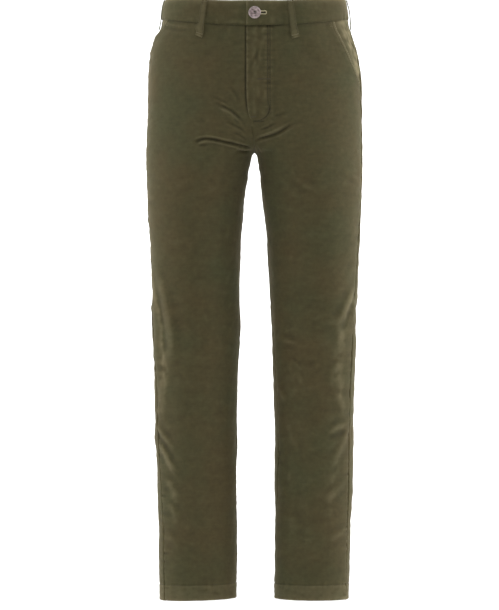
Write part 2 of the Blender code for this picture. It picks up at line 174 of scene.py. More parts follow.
class Crease(NamedTuple):
    """One main crease, in millimetres, or in degrees across where it runs round a side."""

    side: Side
    seen: Seen
    fold: Fold
    width: float
    depth: float
    path: tuple[tuple[float, float], ...]
    fade: tuple[float, float] = (0.35, 0.35)


OUTLINE = [Outline(*row) for row in (
    (0.000, 0.1565, 0.1532), (0.010, 0.1582, 0.1565), (0.021, 0.1602, 0.1582), (0.034, 0.1612, 0.1594),
    (0.052, 0.1638, 0.1628), (0.062, 0.1682, 0.1694), (0.069, 0.1703, 0.1725), (0.086, 0.1756, 0.1775),
    (0.103, 0.1788, 0.1799), (0.138, 0.1845, 0.1836), (0.189, 0.1855, 0.1842), (0.275, 0.1858, 0.1864),
    (0.344, 0.1846, 0.1845), (0.413, 0.1809, 0.1799), (0.482, 0.1776, 0.1765), (0.568, 0.1746, 0.1757),
    (0.654, 0.1724, 0.1729), (0.740, 0.1710, 0.1710), (0.826, 0.1694, 0.1678), (0.912, 0.1660, 0.1655),
    (1.030, 0.1622, 0.1643),
)]
INSIDE = [Inside(*row) for row in (
    (0.000, -0.1557, -0.1557), (0.021, -0.1593, -0.1593), (0.034, -0.1603, -0.1603),
    (0.052, -0.1631, -0.1631), (0.062, -0.1686, -0.1686), (0.069, -0.1717, -0.1717),
    (0.086, -0.1763, -0.1763), (0.103, -0.1789, -0.1789), (0.138, -0.1832, -0.1832),
    (0.160, -0.1740, -0.1740), (0.180, -0.1500, -0.1500), (0.205, -0.1100, -0.1100),
    (0.228, -0.0680, -0.0680), (0.244, -0.0380, -0.0380), (0.256, -0.0170, -0.0170), (CROTCH, 0.0, 0.0),
    (0.275, 0.0046, 0.0044), (0.284, 0.0060, 0.0063), (0.310, 0.0086, 0.0112), (0.344, 0.0136, 0.0170),
    (0.378, 0.0174, 0.0206), (0.413, 0.0204, 0.0232), (0.482, 0.0250, 0.0247), (0.568, 0.0287, 0.0254),
    (0.654, 0.0317, 0.0285), (0.740, 0.0337, 0.0300), (1.030, 0.0348, 0.0308),
)]
CREST = [Crest(*row) for row in (
    (0.000, 0.0), (0.120, 0.0), (0.150, 0.006), (0.190, 0.027), (0.230, 0.053), (0.267, 0.074),
    (0.305, 0.090), (0.344, 0.0985), (0.413, 0.1010), (0.482, 0.1007), (0.568, 0.1013), (0.654, 0.1015),
    (0.740, 0.1018), (0.826, 0.1008), (0.912, 0.0998), (1.030, 0.0985),
)]
DEPTH = [Depth(*row) for row in (
    (0.000, 0.099, 0.097, 0.002, 0.06), (0.034, 0.101, 0.101, 0.003, 0.06),
    (0.070, 0.103, 0.109, 0.004, 0.06), (0.105, 0.105, 0.116, 0.005, 0.06),
    (0.150, 0.106, 0.121, 0.006, 0.06), (0.190, 0.105, 0.122, 0.006, 0.05),
    (0.230, 0.103, 0.119, 0.005, 0.04), (0.267, 0.098, 0.112, 0.004, 0.03),
    (0.300, 0.093, 0.104, 0.002, 0.02), (0.344, 0.087, 0.095, 0.000, 0.02),
    (0.413, 0.079, 0.084, -0.002, 0.02), (0.482, 0.073, 0.078, -0.004, 0.02),
    (0.568, 0.067, 0.073, -0.004, 0.02), (0.654, 0.065, 0.073, 0.000, 0.02),
    (0.740, 0.062, 0.070, 0.006, 0.02), (0.826, 0.059, 0.066, 0.010, 0.02),
    (0.912, 0.057, 0.061, 0.012, 0.02), (1.030, 0.056, 0.058, 0.013, 0.02),
)]
SLOPE = [Slope(*row) for row in (
    (0.000, 0.0089, 0.0090, 0.0, 0.0), (SEAM, 0.0171, 0.0059, 0.0, 0.0),
    (0.090, 0.0120, 0.0050, 0.0, 0.0), (0.150, 0.0040, 0.0020, 0.0, 0.0), (0.200, 0.0, 0.0, 0.0, 0.0),
    (0.850, 0.0, 0.0, 0.0, 0.0), (1.030, 0.0, 0.0, 0.0004, 0.0018),
)]
FLY_EDGE = [FlyEdge(*row) for row in (
    (0.000, -0.0138), (0.170, -0.0138), (0.198, -0.0110), (0.220, -0.0060), (0.245, -0.0015),
    (CROTCH, 0.0), (1.030, 0.0),
)]
SIDE_SEAM = [Angle(*row) for row in (
    (0.000, 10.0, -7.0), (0.148, 12.5, -7.0), (0.275, 14.0, -4.0), (0.430, 18.0, 6.0),
    (0.540, 24.0, 12.0), (0.654, 30.0, 20.0), (0.780, 31.0, 27.0), (0.900, 29.5, 32.0),
    (1.030, 26.0, 34.0),
)]
INSEAM = [Angle(*row) for row in (
    (0.000, 0.0, 0.0), (0.300, 0.0, 0.0), (0.450, 6.0, 6.0), (0.560, 14.0, 9.0), (0.660, 25.0, 10.0),
    (0.740, 29.0, 10.0), (0.840, 25.0, 10.0), (0.890, 12.0, 10.0), (0.940, 4.0, 10.0),
    (1.030, 0.0, 10.0),
)]
MOUTH = [Angle(*row) for row in (
    (0.000, 41.0, 31.0), (SEAM, 37.5, 25.5), (0.075, 33.0, 6.0), (0.115, 26.5, -0.5),
    (0.132, 21.5, -4.0), (MOUTH_END, 12.5, -7.0),
)]

L, R = Side.LEFT, Side.RIGHT
FR, BK, OUT, IN = Seen.FRONT, Seen.BACK, Seen.OUTER, Seen.INNER
TROUGH, PINCH, RIDGE, RUB = Fold.TROUGH, Fold.PINCH, Fold.RIDGE, Fold.RUB
FOLDS = {
    (R, FR): [
        # crotch, and the puckers up to the fly
        (PINCH, 2.5, 4.6, ((99, 248.5), (87, 243.5), (70, 244.5), (45, 249.5), (24, 254.5), (8, 257.5)),
         (0.10, 0.12)),
        (RIDGE, 4.6, 0.9, ((94, 238), (70, 239), (45, 243.5), (20, 248.5))),
        (PINCH, 2.4, 1.3, ((98, 252.5), (90, 254.5), (79, 252.5))),
        (PINCH, 3.0, 2.0, ((7, 262), (18, 264), (31, 263))),
        (PINCH, 2.6, 3.0, ((66, 181), (48, 190.5), (33, 201.5), (19, 214))),
        (RIDGE, 5.0, 1.1, ((62, 189), (45, 199), (29, 211))),
        (TROUGH, 4.0, 0.9, ((100, 210), (80, 215))),
        (PINCH, 2.2, 1.2, ((75, 168), (58, 176), (44, 186), (36, 196))),
        (PINCH, 2.2, 1.6, ((52, 214), (36, 219), (21, 228), (10, 238))),
        (PINCH, 2.0, 1.4, ((38, 232), (24, 238), (12, 246))),
        (TROUGH, 2.8, 0.9, ((40, 152), (31, 166), (25, 182))),
        (RIDGE, 3.2, 0.8, ((34, 206), (24, 216), (17, 228))),
        # thighs
        (TROUGH, 6.0, 0.4, ((110, 309), (87, 309.5), (66, 315))),
        (TROUGH, 6.6, 0.4, ((122, 331), (104, 324), (82, 323))),
        (TROUGH, 6.0, 0.4, ((55, 388), (51, 404))),
        (PINCH, 5.4, 1.0, ((184, 340), (176, 350), (165, 359))),
        # knee
        (RIDGE, 9.0, 2.4, ((165, 456), (158, 499), (147, 556), (142, 594), (148, 636))),
        (TROUGH, 10.8, 1.7, ((166, 476), (160, 536), (155, 592), (157, 640))),
        (TROUGH, 6.0, 0.8, ((167, 628), (149, 641))),
        (RIDGE, 9.6, 1.4, ((164, 648), (159, 690), (163, 726))),
        (TROUGH, 8.4, 0.5, ((148, 664), (93, 673), (55, 669))),
        (TROUGH, 7.2, 0.4, ((119, 708), (84, 714))),
        (TROUGH, 10.8, 0.6, ((55, 672), (60, 715), (68, 756))),
        # below the knee
        (RIDGE, 6.0, 1.9, ((171, 725), (156, 748), (140, 777))),
        (TROUGH, 5.5, 1.2, ((162, 748), (148, 770), (134, 802))),
        (RIDGE, 6.0, 1.9, ((166, 758), (149, 785), (131, 822))),
        (RIDGE, 6.0, 1.4, ((155, 819), (142, 837), (130, 858))),
        (RIDGE, 6.0, 1.3, ((155, 862), (141, 874), (130, 900))),
        (RIDGE, 6.0, 1.1, ((152, 916), (138, 927), (128, 944))),
        (TROUGH, 7.2, 0.5, ((77, 906), (45, 914))),
        (TROUGH, 12.0, 0.6, ((62, 800), (66, 860), (60, 915))),
        # hips, and the fly's edge and layers
        (RIDGE, 3.0, 0.8, ((156, 40), (130, 42), (103, 43))),
        (TROUGH, 3.5, 0.6, ((156, 47), (130, 49), (108, 50))),
        (TROUGH, 12.0, 1.0, ((60, 70), (90, 100), (130, 118))),
        # painted highlight: pale strips of painted sheen on the outer edges
        (RUB, 8.0, 0.42, ((178, 440), (171, 505), (160, 560), (156, 640), (160, 735))),
        (RUB, 8.0, 0.15, ((166, 735), (152, 775), (140, 840), (138, 900))),
    ],
    (L, FR): [
        # crotch, and the puckers up to the fly
        (PINCH, 2.8, 3.4, ((1, 246), (12, 242), (26, 238), (38, 233.5), (50, 227), (62, 220), (77, 215)),
         (0.10, 0.50)),
        (RIDGE, 5.0, 1.4, ((8, 236), (30, 230), (50, 219))),
        (PINCH, 3.0, 1.8, ((2, 253), (9, 262))),
        (PINCH, 2.2, 1.5, ((6, 229), (20, 225), (36, 217))),
        (PINCH, 2.2, 1.4, ((5, 240), (16, 240), (30, 237))),
        (TROUGH, 3.0, 0.9, ((30, 206), (46, 202), (60, 196))),
        # thighs
        (TROUGH, 7.2, 0.9, ((44, 298), (63, 314), (85, 337))),
        (RIDGE, 5.3, 1.0, ((55, 309), (77, 320), (102, 330), (116, 335))),
        (PINCH, 5.4, 0.8, ((150, 306), (162, 312), (176, 320))),
        (TROUGH, 7.2, 0.4, ((47, 451), (77, 458), (109, 465))),
        (TROUGH, 8.4, 0.7, ((168, 446), (153, 463))),
        # knee
        (RIDGE, 7.2, 2.1, ((170, 490), (162, 511), (153, 533), (145, 547), (131, 558))),
        (TROUGH, 8.4, 1.5, ((170, 512), (163, 532), (156, 556), (146, 577))),
        (TROUGH, 4.8, 0.7, ((45, 575), (68, 579))),
        (RIDGE, 4.8, 0.8, ((49, 586), (76, 590))),
        (TROUGH, 6.0, 0.8, ((51, 609), (77, 620), (109, 628))),
        (RIDGE, 4.8, 1.1, ((55, 624), (67, 639), (80, 660))),
        (TROUGH, 4.3, 0.8, ((64, 629), (76, 660))),
        (TROUGH, 9.6, 0.8, ((48, 638), (53, 679))),
        (RIDGE, 7.2, 1.0, ((139, 552), (147, 581), (156, 610))),
        (RIDGE, 6.0, 1.0, ((158, 617), (134, 638), (127, 667))),
        (RIDGE, 7.2, 1.1, ((131, 668), (147, 693), (149, 718))),
        (PINCH, 2.0, 0.7, ((64, 560), (52, 567), (46, 571))),
        (PINCH, 2.0, 0.8, ((72, 602), (58, 597), (46, 600))),
        (PINCH, 2.2, 0.8, ((88, 640), (74, 622), (60, 613))),
        # below the knee
        (RIDGE, 5.3, 1.1, ((40, 664), (54, 692))),
        (RIDGE, 6.0, 1.0, ((58, 726), (72, 781))),
        (RIDGE, 6.0, 1.0, ((58, 805), (67, 853))),
        (TROUGH, 9.6, 0.9, ((75, 724), (78, 790), (82, 864))),
        (RIDGE, 5.3, 1.4, ((124, 743), (139, 734), (157, 729))),
        (TROUGH, 6.0, 1.0, ((128, 753), (143, 746), (154, 741))),
        (RIDGE, 6.0, 1.9, ((159, 732), (150, 763), (131, 796))),
        (RIDGE, 6.0, 1.4, ((155, 826), (137, 844), (119, 864))),
        (RIDGE, 6.0, 1.2, ((155, 908), (140, 919), (124, 930))),
        (TROUGH, 9.6, 0.7, ((85, 880), (72, 930), (80, 980))),
        (TROUGH, 9.0, 1.2, ((68, 800), (73, 870), (84, 940), (92, 975))),
        (PINCH, 2.0, 0.8, ((70, 893), (82, 897), (93, 905))),
        (PINCH, 2.0, 0.8, ((72, 922), (84, 929), (96, 932))),
        # hips, and the fly's edge and layers
        (TROUGH, 3.0, 0.5, ((7, 35), (5, 71), (1, 100), (-6, 131), (-8.6, 176), (-7.8, 212))),
        (RIDGE, 1.9, 0.6, ((-12.6, 150), (-12, 222))),
        (RIDGE, 2.2, 0.6, ((-1.9, 145), (-1, 206))),
        (TROUGH, 12.0, 1.0, ((70, 60), (95, 95), (125, 120))),
        # painted highlight: pale strips of painted sheen on the outer edges
        (RUB, 8.0, 0.26, ((172, 480), (160, 540), (146, 590), (146, 650), (150, 730))),
        (RUB, 8.0, 0.13, ((156, 735), (140, 790), (130, 850), (126, 910))),
        (RUB, 4.0, 0.20, ((182, 240), (182, 330), (178, 430))),
    ],
    (R, BK): [
        # seat
        (PINCH, 4.6, 2.9, ((8, 287), (40, 277), (86, 262)), (0.15, 0.45)),
        (TROUGH, 9.0, 2.2, ((20, 314), (70, 296), (122, 272))),
        (TROUGH, 12.0, 1.7, ((30, 352), (80, 330), (132, 300))),
        (RIDGE, 8.0, 1.2, ((14, 300), (55, 286), (104, 265))),
        (TROUGH, 11.0, 1.0, ((18, 215), (60, 190), (120, 182))),
        (TROUGH, 10.0, 0.8, ((40, 62), (90, 74), (135, 66))),
        # behind the knees
        (PINCH, 5.0, 3.0, ((46, 577), (95, 563), (152, 572)), (0.3, 0.3)),
        (RIDGE, 7.0, 1.7, ((50, 590), (98, 577), (150, 588))),
        (TROUGH, 8.0, 2.3, ((52, 606), (100, 592), (154, 606))),
        (TROUGH, 9.0, 2.0, ((58, 645), (108, 624), (150, 612))),
        (TROUGH, 9.0, 1.7, ((52, 540), (100, 532), (146, 520))),
        # backs of the calves
        (TROUGH, 10.0, 1.7, ((58, 712), (108, 744), (150, 780))),
        (TROUGH, 9.0, 1.4, ((66, 850), (108, 830), (146, 826))),
        (TROUGH, 8.0, 1.1, ((56, 934), (100, 946), (142, 936))),
    ],
    (L, BK): [
        # seat
        (PINCH, 4.6, 2.9, ((8, 284), (42, 272), (97, 257)), (0.15, 0.45)),
        (TROUGH, 9.0, 2.4, ((22, 318), (75, 296), (116, 280))),
        (TROUGH, 11.0, 1.6, ((34, 345), (84, 332), (140, 312))),
        (RIDGE, 8.0, 1.2, ((14, 301), (58, 285), (108, 268))),
        (TROUGH, 11.0, 0.9, ((18, 208), (64, 196), (128, 172))),
        (TROUGH, 10.0, 0.8, ((44, 70), (92, 66), (130, 78))),
        # behind the knees
        (PINCH, 5.0, 3.0, ((44, 566), (98, 572), (154, 592)), (0.3, 0.3)),
        (RIDGE, 7.0, 1.7, ((50, 579), (100, 586), (148, 606))),
        (TROUGH, 8.0, 2.3, ((54, 597), (102, 602), (150, 626))),
        (TROUGH, 9.0, 2.0, ((58, 622), (104, 636), (146, 655))),
        (TROUGH, 9.0, 1.7, ((56, 530), (104, 536), (150, 546))),
        # backs of the calves
        (TROUGH, 10.0, 1.7, ((62, 760), (110, 730), (150, 706))),
        (TROUGH, 9.0, 1.4, ((60, 826), (104, 846), (144, 876))),
        (TROUGH, 8.0, 1.1, ((60, 950), (104, 940), (146, 956))),
    ],
    (R, OUT): [
        (TROUGH, 9.0, 0.9, ((30, 470), (0, 520), (-40, 556))),
        (TROUGH, 8.0, 0.8, ((36, 640), (0, 622), (-44, 612))),
        (TROUGH, 8.0, 0.7, ((40, 740), (6, 770), (-36, 786))),
        (TROUGH, 9.0, 0.5, ((20, 330), (-10, 350), (-46, 352))),
    ],
    (L, OUT): [
        (TROUGH, 9.0, 0.9, ((34, 486), (2, 530), (-38, 572))),
        (TROUGH, 8.0, 0.8, ((40, 596), (4, 620), (-40, 636))),
        (TROUGH, 8.0, 0.7, ((42, 748), (0, 724), (-42, 712))),
        (TROUGH, 9.0, 0.5, ((24, 318), (-8, 330), (-40, 340))),
    ],
    (R, IN): [
        (TROUGH, 7.0, 0.6, ((44, 300), (8, 296), (-34, 312))),
        (TROUGH, 9.0, 0.5, ((40, 366), (0, 352), (-40, 360))),
        (TROUGH, 8.0, 0.6, ((46, 590), (6, 580), (-40, 574))),
    ],
    (L, IN): [
        (TROUGH, 7.0, 0.6, ((40, 292), (4, 302), (-36, 306))),
        (TROUGH, 9.0, 0.5, ((42, 356), (4, 368), (-38, 352))),
        (TROUGH, 8.0, 0.6, ((40, 606), (0, 590), (-40, 570))),
    ],
}
CREASES = [Crease(*place, *row) for place, rows in FOLDS.items() for row in rows]


def curve(table: Sequence[NamedTuple], column: str, at: Array) -> Array:
    """Cubic through one column of a table: each tangent is the harmonic mean of the
    slopes beside it, so the curve doesn't overshoot.

    Args:
        table: Rows whose first column is the drop, in rising order.
        column: Name of the column to read.
        at: Drops to read it at.
    Returns:
        The column's value at each drop.
    """
    place = np.array([row[0] for row in table])
    value = np.array([getattr(row, column) for row in table])
    width = np.diff(place)
    slope = np.diff(value) / width
    tangent = np.zeros(len(value))
    same_way = slope[:-1] * slope[1:] > 0
    before, after = slope[:-1][same_way], slope[1:][same_way]
    tangent[1:-1][same_way] = 2 * before * after / (before + after)
    tangent[0], tangent[-1] = slope[0], slope[-1]
    at = np.clip(np.asarray(at, dtype=float), place[0], place[-1])
    i = np.clip(np.searchsorted(place, at, side="right") - 1, 0, len(width) - 1)
    t = (at - place[i]) / width[i]
    from_start = (1 + 2 * t) * (1 - t) ** 2 * value[i] + t ** 2 * (3 - 2 * t) * value[i + 1]
    from_slopes = t * (1 - t) ** 2 * tangent[i] - t ** 2 * (1 - t) * tangent[i + 1]
    return from_start + width[i] * from_slopes


def ease(low: float, high: float, at: Array) -> Array:
    """Smooth step, 3t^2 - 2t^3, from 0 at low to 1 at high; low may be the larger."""
    t = np.clip((at - low) / (high - low), 0.0, 1.0)
    return t * t * (3 - 2 * t)


def bell(at: Array, width: float) -> Array:
    """Bell curve, exp(-(at / width)^2)."""
    return np.exp(-((at / width) ** 2))


def wander(along: Array, wave: float, seed: int) -> Array:
    """Uneven wave along a line: the sum of six sines near one wavelength, each with a
    seeded phase, swelling and fading over some ten waves.

    Args:
        along: Distance along the line.
        wave: Middle wavelength, in the same unit.
        seed: Seed of the phases.
    Returns:
        Values of about -1 to 1.
    """
    draw = np.random.default_rng(seed)
    total = np.zeros_like(along)
    for share in (0.62, 0.79, 0.93, 1.08, 1.31, 1.62):
        total += np.sin(2 * np.pi * along / (wave * share) + draw.uniform(0, 2 * np.pi))
    swell = 0.65 + 0.35 * np.sin(2 * np.pi * along / (wave * 9.7) + draw.uniform(0, 2 * np.pi))
    return total / 2.6 * swell


def drift(point: Array, wave: tuple[float, float, float], seed: int) -> Array:
    """Soft unevenness in space: the sum of fourteen plane waves of seeded directions.

    Args:
        point: Points, in metres.
        wave: Typical wavelength along X, Y and Z, in metres.
        seed: Seed of the directions and phases.
    Returns:
        Values of about -1 to 1, one a point.
    """
    draw = np.random.default_rng(seed)
    way = draw.normal(size=(14, 3))
    way *= draw.uniform(0.7, 1.4, size=(14, 1)) / np.linalg.norm(way, axis=1, keepdims=True)
    way = way * 2 * np.pi / np.array(wave)
    phase = draw.uniform(0, 2 * np.pi, size=14)
    return np.sin(point @ way.T + phase).sum(axis=-1) / 4.2


def unit(vector: Array) -> Array:
    """Vectors of length 1 in the same directions."""
    return vector / np.maximum(np.linalg.norm(vector, axis=-1, keepdims=True), 1e-12)


@dataclass(frozen=True)
class Form:
    """The shape on a wearer that every piece is cut from."""

    offsets: tuple[float, ...] = (-2.0, -1.5, -1.0, -0.5, 0.0, 0.5, 1.0, 1.5, 2.0)

    def read(self, table: Sequence[NamedTuple], column: str, drop: Array) -> Array:
        """A table's curve, averaged over some millimetres so that no row shows in the
        cloth; over less near the waist and the crotch, where the form turns quickly.

        Args:
            table: Rows by drop.
            column: Name of the column to read.
            drop: Drops to read it at.
        Returns:
            The averaged value at each drop.
        """
        drop = np.asarray(drop, dtype=float)
        near = ease(0.006, 0.05, np.abs(drop - CROTCH)) * ease(0.03, 0.10, drop)
        radius = 0.0012 + 0.0085 * near
        shift = np.array(self.offsets)
        weight = np.exp(-0.5 * shift ** 2)
        value = curve(table, column, drop[..., None] + radius[..., None] * shift)
        return (value * weight).sum(axis=-1) / weight.sum()

    def squareness(self, turn: Array, amount: Array) -> Array:
        """Factor 1 + amount sin^2(2 turn) that pushes a ring's four corners outwards."""
        return 1 + amount * np.sin(2 * turn) ** 2

    def span(self, side: Side, face: Face, drop: Array) -> tuple[Array, ...]:
        """Crest of a ring, its reach inwards and outwards, and where the legs meet."""
        crest = self.read(CREST, "across", drop)
        meeting = np.zeros_like(np.asarray(drop, dtype=float))
        if face is Face.FRONT:
            meeting = side.value * self.read(FLY_EDGE, "across", drop)
        inner = self.read(INSIDE, side.word, drop) + meeting
        return crest, crest - inner, self.read(OUTLINE, side.word, drop) - crest, meeting

    def surface(self, side: Side, turn: Array, drop: Array) -> Array:
        """Bare cloth surface: half ellipses whose reach and depth are read at the drop.

        Args:
            side: Which leg; the right one is given on the left, to be mirrored.
            turn: Turn round the ring.
            drop: Drop of each point, of a shape that spreads over turn's.
        Returns:
            The points.
        """
        turn, drop = np.asarray(turn, float), np.asarray(drop, float)
        at_front = np.sin(turn) > 0
        crest, inward_front, outward, _ = self.span(side, Face.FRONT, drop)
        inward_back = self.span(side, Face.BACK, drop)[1]
        inward = np.where(at_front, inward_front, inward_back)
        reach = np.where(np.cos(turn) > 0, inward, outward)
        square = self.squareness(turn, self.read(DEPTH, "square", drop))
        depth = np.where(at_front, self.read(DEPTH, "front", drop), self.read(DEPTH, "back", drop))
        dip = np.where(at_front, -self.read(SLOPE, "front_dip", drop),
                       self.read(SLOPE, "back_rise", drop))
        tilt = self.read(SLOPE, side.word + "_tilt", drop)
        x = crest - reach * np.cos(turn) * square
        y = self.read(DEPTH, "middle", drop) - depth * np.sin(turn) * square
        z = -drop + dip * np.sin(turn) ** 2 + tilt * np.cos(turn)
        return np.stack(np.broadcast_arrays(x, y, z), axis=-1)

    def pace(self, side: Side, turn: Array, drop: Array) -> Array:
        """Distance along a ring for each unit of turn."""
        step = 1e-3
        ahead = self.surface(side, turn + step, drop) - self.surface(side, turn - step, drop)
        return np.linalg.norm(ahead, axis=-1) / (2 * step)

    def outward(self, side: Side, turn: Array, drop: Array) -> Array:
        """Unit normal of the bare surface, from its slopes along the ring and down."""
        step = 2e-4
        along = self.surface(side, turn + step, drop) - self.surface(side, turn - step, drop)
        down = self.surface(side, turn, drop + step) - self.surface(side, turn, drop - step)
        return unit(np.cross(down, along))

    def turn_at(self, side: Side, face: Face, drop: Array, across: Array) -> Array:
        """Turn at which a ring is a given distance from the middle, by repeated division
        by the squareness.

        Args:
            side: Which leg.
            face: Front or back of it.
            drop: Drops of the points.
            across: Their distances from the middle.
        Returns:
            The turn of each point.
        """
        crest, inward, outward, _ = self.span(side, face, drop)
        wanted = (crest - across) / np.where(across < crest, inward, outward)
        amount = self.read(DEPTH, "square", drop)
        turn = np.arccos(np.clip(wanted, -1.0, 1.0))
        for _ in range(40):
            turn = np.arccos(np.clip(wanted / self.squareness(turn, amount), -1.0, 1.0))
        return turn if face is Face.FRONT else 2 * np.pi - turn

    def inner_edge(self, side: Side, face: Face, drop: Array) -> tuple[Array, Array]:
        """Turn of the centre seam or inseam, and of the inseam that columns count from."""
        at_middle = self.turn_at(side, face, drop, self.span(side, face, drop)[-1])
        base = 0.0 if face is Face.FRONT else 2 * np.pi
        inseam = base + np.radians(self.read(INSEAM, side.word, drop))
        return np.where(drop < CROTCH - 1e-6, at_middle, inseam), inseam

    def side_turn(self, table: Sequence[Angle], side: Side, drop: Array) -> Array:
        """Turn of a side seam or a pocket mouth."""
        return np.pi - np.radians(curve(table, side.word, drop))


FORM = Form()


@dataclass
class Track:
    """A crease's line on the bare surface, with its side vectors."""

    crease: Crease
    samples: int = 40

    def __post_init__(self) -> None:
        """Carry a smooth curve through the crease's points onto the surface."""
        given = np.array(self.crease.path, dtype=float)
        at = np.linspace(0, len(given) - 1, self.samples)
        i = np.clip(at.astype(int), 0, len(given) - 2)
        padded = np.vstack([2 * given[0] - given[1], given, 2 * given[-1] - given[-2]])
        p0, p1, p2, p3 = padded[i], padded[i + 1], padded[i + 2], padded[i + 3]
        t = (at - i)[:, None]
        place = 0.5 * (2 * p1 + (p2 - p0) * t + (2 * p0 - 5 * p1 + 4 * p2 - p3) * t ** 2
                       + (3 * p1 - p0 - 3 * p2 + p3) * t ** 3)
        side, seen, drop = self.crease.side, self.crease.seen, place[:, 1] * MM
        if seen is Seen.OUTER:
            turn = np.pi - np.radians(place[:, 0])
        elif seen is Seen.INNER:
            turn = np.mod(np.radians(place[:, 0]), 2 * np.pi)
        else:
            face = Face.FRONT if seen is Seen.FRONT else Face.BACK
            turn = FORM.turn_at(side, face, drop, place[:, 0] * MM)
        self.point = FORM.surface(side, turn, drop)
        self.way = unit(np.gradient(self.point, axis=0))
        self.across = unit(np.cross(FORM.outward(side, turn, drop), self.way))
        steps = np.linalg.norm(np.diff(self.point, axis=0), axis=1)
        self.place = np.concatenate([[0.0], np.cumsum(steps)])

    def height(self, point: Array) -> Array:
        """Height of the fold at points of the surface. Across the line, a trough is a
        bell with a low ridge on each side, a pinch falls as exp(-|u|) between two lips,
        and a ridge is a bell; along it, both ends fade.

        Args:
            point: Points of the bare surface.
        Returns:
            Metres along the normal, one a point.
        """
        fold, width, depth = self.crease.fold, self.crease.width * MM, self.crease.depth * MM
        height = np.zeros(len(point))
        middle = 0.5 * (self.point.min(axis=0) + self.point.max(axis=0))
        reach = 0.5 * np.linalg.norm(np.ptp(self.point, axis=0)) + 5 * width
        near = np.flatnonzero(np.linalg.norm(point - middle, axis=1) < reach)
        if not len(near):
            return height
        gap = np.linalg.norm(point[near, None] - self.point[None], axis=-1)
        i = gap.argmin(axis=1)
        offset = point[near] - self.point[i]
        u = (offset * self.across[i]).sum(axis=1) / width
        length = self.place[-1]
        share = (self.place[i] + (offset * self.way[i]).sum(axis=1)) / length
        close = gap.min(axis=1) < 4.5 * width
        start, end = self.crease.fade
        ends = ease(-0.03 - width / length, start, share) * ease(1.03 + width / length, 1 - end, share)
        lips = bell(np.abs(u) - 1.75, 0.85)
        if fold is Fold.RUB:
            section = bell(u, 1.0) / MM
        elif fold is Fold.RIDGE:
            section = bell(u, 1.0) - 0.25 * bell(np.abs(u) - 2.0, 0.9)
        elif fold is Fold.PINCH:
            section = 0.42 * lips * (1 + 0.35 * np.sign(u)) - np.exp(-1.35 * np.abs(u))
        else:
            section = 0.38 * lips - bell(u, 1.0)
        height[near] = depth * section * ends * close
        return height


@dataclass
class Skin:
    """Outer face of a piece: a grid of points with its normals and distances."""

    point: Array
    normal: Array
    from_inner: Array
    from_outer: Array
    drop: Array

    def at(self, row: Array, column: Array) -> tuple[Array, Array]:
        """Blend the grid between its four nearest points.

        Args:
            row: Fractional row of each place.
            column: Fractional column of each place.
        Returns:
            Points and normals.
        """
        rows, columns = self.point.shape[:2]
        i = np.clip(np.floor(row).astype(int), 0, rows - 2)
        j = np.clip(np.floor(column).astype(int), 0, columns - 2)
        v, u = np.clip(row - i, 0, 1)[:, None], np.clip(column - j, 0, 1)[:, None]
        found = []
        for grid in (self.point, self.normal):
            upper = grid[i, j] * (1 - u) + grid[i, j + 1] * u
            lower = grid[i + 1, j] * (1 - u) + grid[i + 1, j + 1] * u
            found.append(upper * (1 - v) + lower * v)
        return found[0], unit(found[1])

    def on_arc(self, drop: Array, arc: Array,
               from_end: bool = False) -> tuple[Array, Array]:
        """Points at given drops and distances along their rows.

        Args:
            drop: Drop of each point.
            arc: Distance from the inner seam or edge, or from the outer one.
            from_end: Whether the distance is counted from the outer one.
        Returns:
            Points and normals.
        """
        row = np.interp(drop, self.drop, np.arange(len(self.drop)))
        distance = -self.from_outer if from_end else self.from_inner
        count = np.arange(distance.shape[1])
        column = np.empty(len(row))
        for k, place in enumerate(row):
            i = min(int(place), len(self.drop) - 2)
            along = distance[i] * (1 - place + i) + distance[i + 1] * (place - i)
            column[k] = np.interp(-arc[k] if from_end else arc[k], along, count)
        return self.at(row, column)


def normals(point: Array) -> Array:
    """Unit normals of a grid, from the cross product of its two differences."""
    down, along = np.gradient(point, axis=0), np.gradient(point, axis=1)
    return unit(np.cross(down, along))


def row_arc(point: Array) -> Array:
    """Distance along each row of a grid, from its first column."""
    step = np.linalg.norm(np.diff(point, axis=1), axis=-1)
    return np.concatenate([np.zeros((len(point), 1)), np.cumsum(step, axis=1)], axis=1)


def outer_skin(point: Array, bare: Array, from_inner: Array, from_outer: Array,
               drop: Array) -> Skin:
    """Skin over a grid of points, whose normals point the way that the bare ones do."""
    normal = normals(point)
    way = 1.0 if (normal * bare).sum() >= 0 else -1.0
    return Skin(point, way * normal, from_inner, from_outer, drop[:, 0])


def cut_area(arc: Array, drop: Array) -> float:
    """Area of a flat piece, from the lengths of its rows."""
    return float((0.5 * (arc[1:, -1] + arc[:-1, -1]) * np.diff(drop[:, 0])).sum())


def register(piece: Piece, node: str = "") -> None:
    """Give a piece its body, and hide the node that it replaces where there is one."""
    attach(piece, "root")
    if node:
        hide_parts(node)


def hollow(height: Array) -> Array:
    """How far each point lies below the average of the 7 by 7 points round it."""
    rows, columns = height.shape
    padded = np.pad(height, 3, mode="edge")
    near = [padded[i:i + rows, j:j + columns] for i in range(7) for j in range(7)]
    return sum(near) / len(near) - height


def rounding(distance: Array, cloth: Array) -> Array:
    """Share of the wall left at a distance from its edge: a quarter circle, so that the
    outer and inner faces run into each other in a round."""
    share = np.clip(1 - distance / (cloth / 2), 0.0, 0.98)
    return np.sqrt(1 - share ** 2)


def turned_faces(rings: int, around: int) -> tuple[Array, Array]:
    """Numbers of the points of closed rings one above another, and the faces between."""
    number = np.arange(rings * around).reshape(rings, around)
    after = np.roll(number, -1, axis=1)
    faces = np.stack([number[:-1], number[1:], after[1:], after[:-1]], axis=-1)
    return number, faces.reshape(-1, 4)


